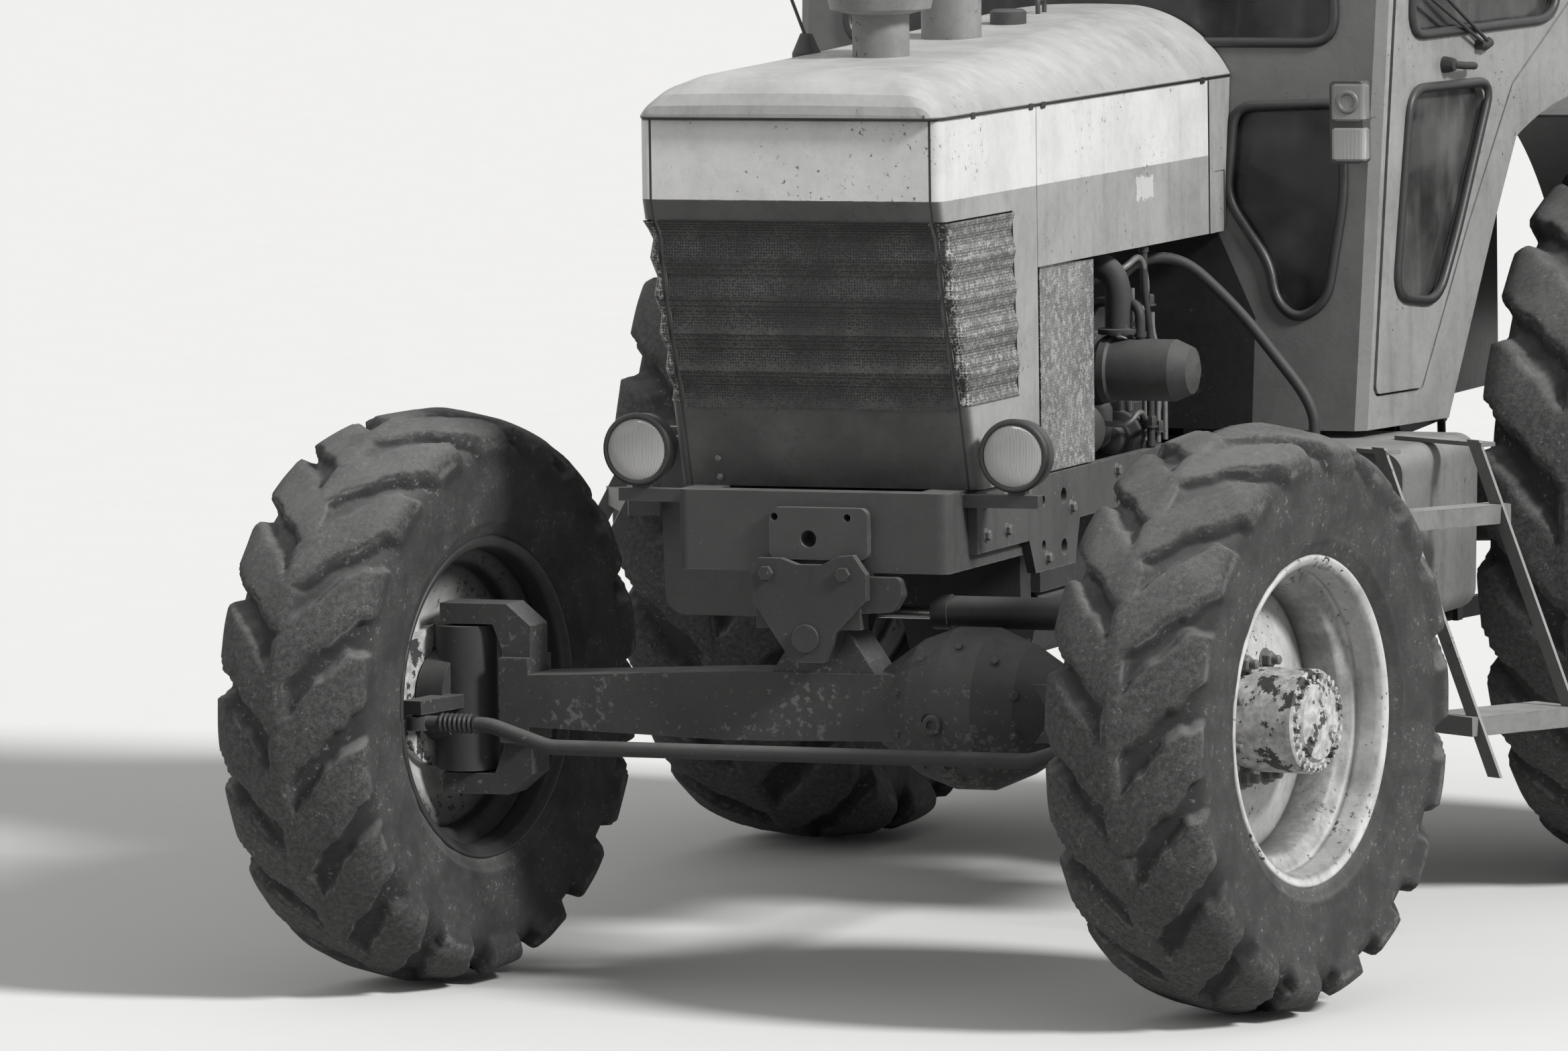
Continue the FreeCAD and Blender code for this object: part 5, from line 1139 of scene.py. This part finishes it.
def makePad(name, shape, replaced):
    work = bmesh.new()
    bmesh.ops.create_cube(work, size=1.0)
    low, high = at(*shape["low"]), at(*shape["high"])
    middle, size = (low + high) / 2, high - low
    for vertex in work.verts:
        vertex.co = Vector((vertex.co.x * size.x, vertex.co.y * size.y, vertex.co.z * size.z)) + middle
    bmesh.ops.bevel(work, geom=work.edges[:], offset=seatShape["round"], segments=4, profile=0.5,
                    affect="EDGES")
    mesh = bpy.data.meshes.new(name)
    work.to_mesh(mesh)
    work.free()
    mesh.materials.append(materials["seat_fabric"])
    piece = bpy.data.objects.new(name, mesh)
    bpy.context.collection.objects.link(piece)
    bpy.context.view_layer.objects.active = piece
    remesh = piece.modifiers.new("remesh", "REMESH")
    remesh.mode = "VOXEL"
    remesh.voxel_size = seatShape["voxel"]
    bpy.ops.object.modifier_apply(modifier="remesh")
    swell(piece)
    axis = 1 if shape["lean"] == 0 else 2  # along the cushion, or up the back
    for vertex in piece.data.vertices:     # channels sewn across, sides drawn in between the corners
        along = vertex.co[axis]
        channel = abs(math.sin(seatShape["channels"] * math.pi * (along - low[axis]) / size[axis]))
        pull = seatShape["sewn"] * (1 - min(1.0, channel * 3.5)) ** 2
        vertex.co += (middle - vertex.co).normalized() * pull
        drawn = max(0.0, 1 - (2 * (along - middle[axis]) / size[axis]) ** 2)
        drawn = seatShape["drawn"] * drawn * abs(vertex.co.x) / (size.x / 2)
        vertex.co.x -= math.copysign(drawn, vertex.co.x)
        vertex.co.y += shape["lean"] * (vertex.co.z - low.z)
    smoothing = piece.modifiers.new("smooth", "SUBSURF")
    smoothing.levels = smoothing.render_levels = 1
    bpy.ops.object.modifier_apply(modifier="smooth")
    piece.data.shade_smooth()
    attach(piece, "chassis")
    if replaced:
        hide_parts("seat")


def swell(piece):
    scene = bpy.context.scene
    rest = [vertex.co.copy() for vertex in piece.data.vertices]
    cloth = piece.modifiers.new("cloth", "CLOTH")
    cloth.settings.use_pressure = True
    cloth.settings.uniform_pressure_force = seatShape["pressure"]
    cloth.settings.effector_weights.gravity = 0.0
    for frameNumber in range(1, seatShape["frames"] + 1):
        scene.frame_set(frameNumber)
    bpy.ops.object.modifier_apply(modifier="cloth")
    scene.frame_set(1)
    for vertex, before in zip(piece.data.vertices, rest):
        move = vertex.co - before
        if move.length > seatShape["cap"]:
            vertex.co = before + move.normalized() * seatShape["cap"]


# Camera, floor and light

view = {                                   # the photo's own, solved from the wheels and the hood
    "yaw": 21.48, "pitch": 5.18, "roll": -0.82, "aim": (-0.119, 0.0, 1.093), "distance": 24.86,
    "lens": 246.2, "sensor": 36.0, "far": 200.0,
}
# Tones of floor and sky: what falls on the tractor, and what is looked at.
floorTone = {"lit": 0.42, "seen": (0.93, 0.96)}
skyStrength = {"lit": 0.34, "seen": 0.87}
suns = {
    # comes from, strength, angle
    "key": ((0.90, -0.24, 0.66), 3.0, 11.0),
    "fill": ((-0.6, -0.7, 0.5), 0.25, 40.0),
}


def addCamera():
    yaw, pitch, roll = (math.radians(view[turn]) for turn in ("yaw", "pitch", "roll"))
    aim = at(*view["aim"])
    back = Vector((math.sin(yaw) * math.cos(pitch), -math.cos(yaw) * math.cos(pitch), math.sin(pitch)))
    right = Vector((math.cos(yaw), math.sin(yaw), 0))
    up = back.cross(right)
    side = right * math.cos(roll) + up * math.sin(roll)
    top = up * math.cos(roll) - right * math.sin(roll)
    lens = bpy.data.cameras.new("camera")
    lens.lens = view["lens"]
    lens.sensor_width = view["sensor"]
    lens.clip_end = view["far"]
    camera = bpy.data.objects.new("camera", lens)
    turn = Matrix((side, top, back)).transposed().to_4x4()
    camera.matrix_world = Matrix.Translation(aim + back * view["distance"]) @ turn
    bpy.context.collection.objects.link(camera)
    bpy.context.scene.camera = camera


def looked(tree):                          # 1 for what the camera sees, also in a mirror or through glass
    seen = addNode(tree, "ShaderNodeLightPath").outputs
    direct = compute(tree, "MAXIMUM", seen["Is Camera Ray"], seen["Is Glossy Ray"])
    return compute(tree, "MAXIMUM", direct, seen["Is Transmission Ray"])


def addStage():
    bpy.ops.mesh.primitive_plane_add(size=160, location=(0, 0, -0.001))
    floor = bpy.context.object
    floor.name = "floor"
    material, tree, shader, place = newMaterial("floor", 0.95)
    low, high = floorTone["seen"]
    pale = mix(tree, noise(tree, place, 3.0, 4.0, 0.6), grey(low), grey(high))
    tree.links.new(mix(tree, looked(tree), grey(floorTone["lit"]), pale), shader.inputs["Base Color"])
    shader.inputs["Specular IOR Level"].default_value = 0.0
    floor.data.materials.append(material)


def addLight(name, direction, strength, angle):
    data = bpy.data.lights.new(name, "SUN")
    data.energy = strength
    data.angle = math.radians(angle)
    light = bpy.data.objects.new(name, data)
    light.rotation_euler = Vector(direction).to_track_quat("Z", "Y").to_euler()
    bpy.context.collection.objects.link(light)


def addLights():
    for name, (direction, strength, angle) in suns.items():
        addLight(name, direction, strength, angle)
    world = bpy.data.worlds.new("world")
    world.use_nodes = True
    tree = world.node_tree
    sockets = {0: looked(tree), 2: skyStrength["lit"], 3: skyStrength["seen"]}
    strength = addNode(tree, "ShaderNodeMix", sockets, data_type="FLOAT").outputs[0]
    tree.links.new(strength, tree.nodes["Background"].inputs["Strength"])
    tree.nodes["Background"].inputs["Color"].default_value = (1, 1, 1, 1)
    bpy.context.scene.world = world


print("stage: materials")
materials = makeMaterials()
paintNodes()
print("stage: wheels")
for end, side in (("left", 1), ("right", -1)):
    for kind in ("front", "rear"):
        makeTyre(kind, end, side)
        makeRim(kind, end, side)
print("stage: cab")
makeSeals()
makeDoorFurniture()
makeCornerLamps()
print("stage: nose, frame and engine")
makeHeadLamps()
makeFrameBolts()
makeCastings()
makePipes()
makeFittings()
makeHoses()
makeAxleDetails()
print("stage: seat")
makePad("seatCushion", seatShape["cushion"], True)
makePad("seatBack", seatShape["back"], False)
print("stage: camera and light")
addCamera()
addStage()
addLights()
bpy.context.scene.view_settings.view_transform = "Standard"
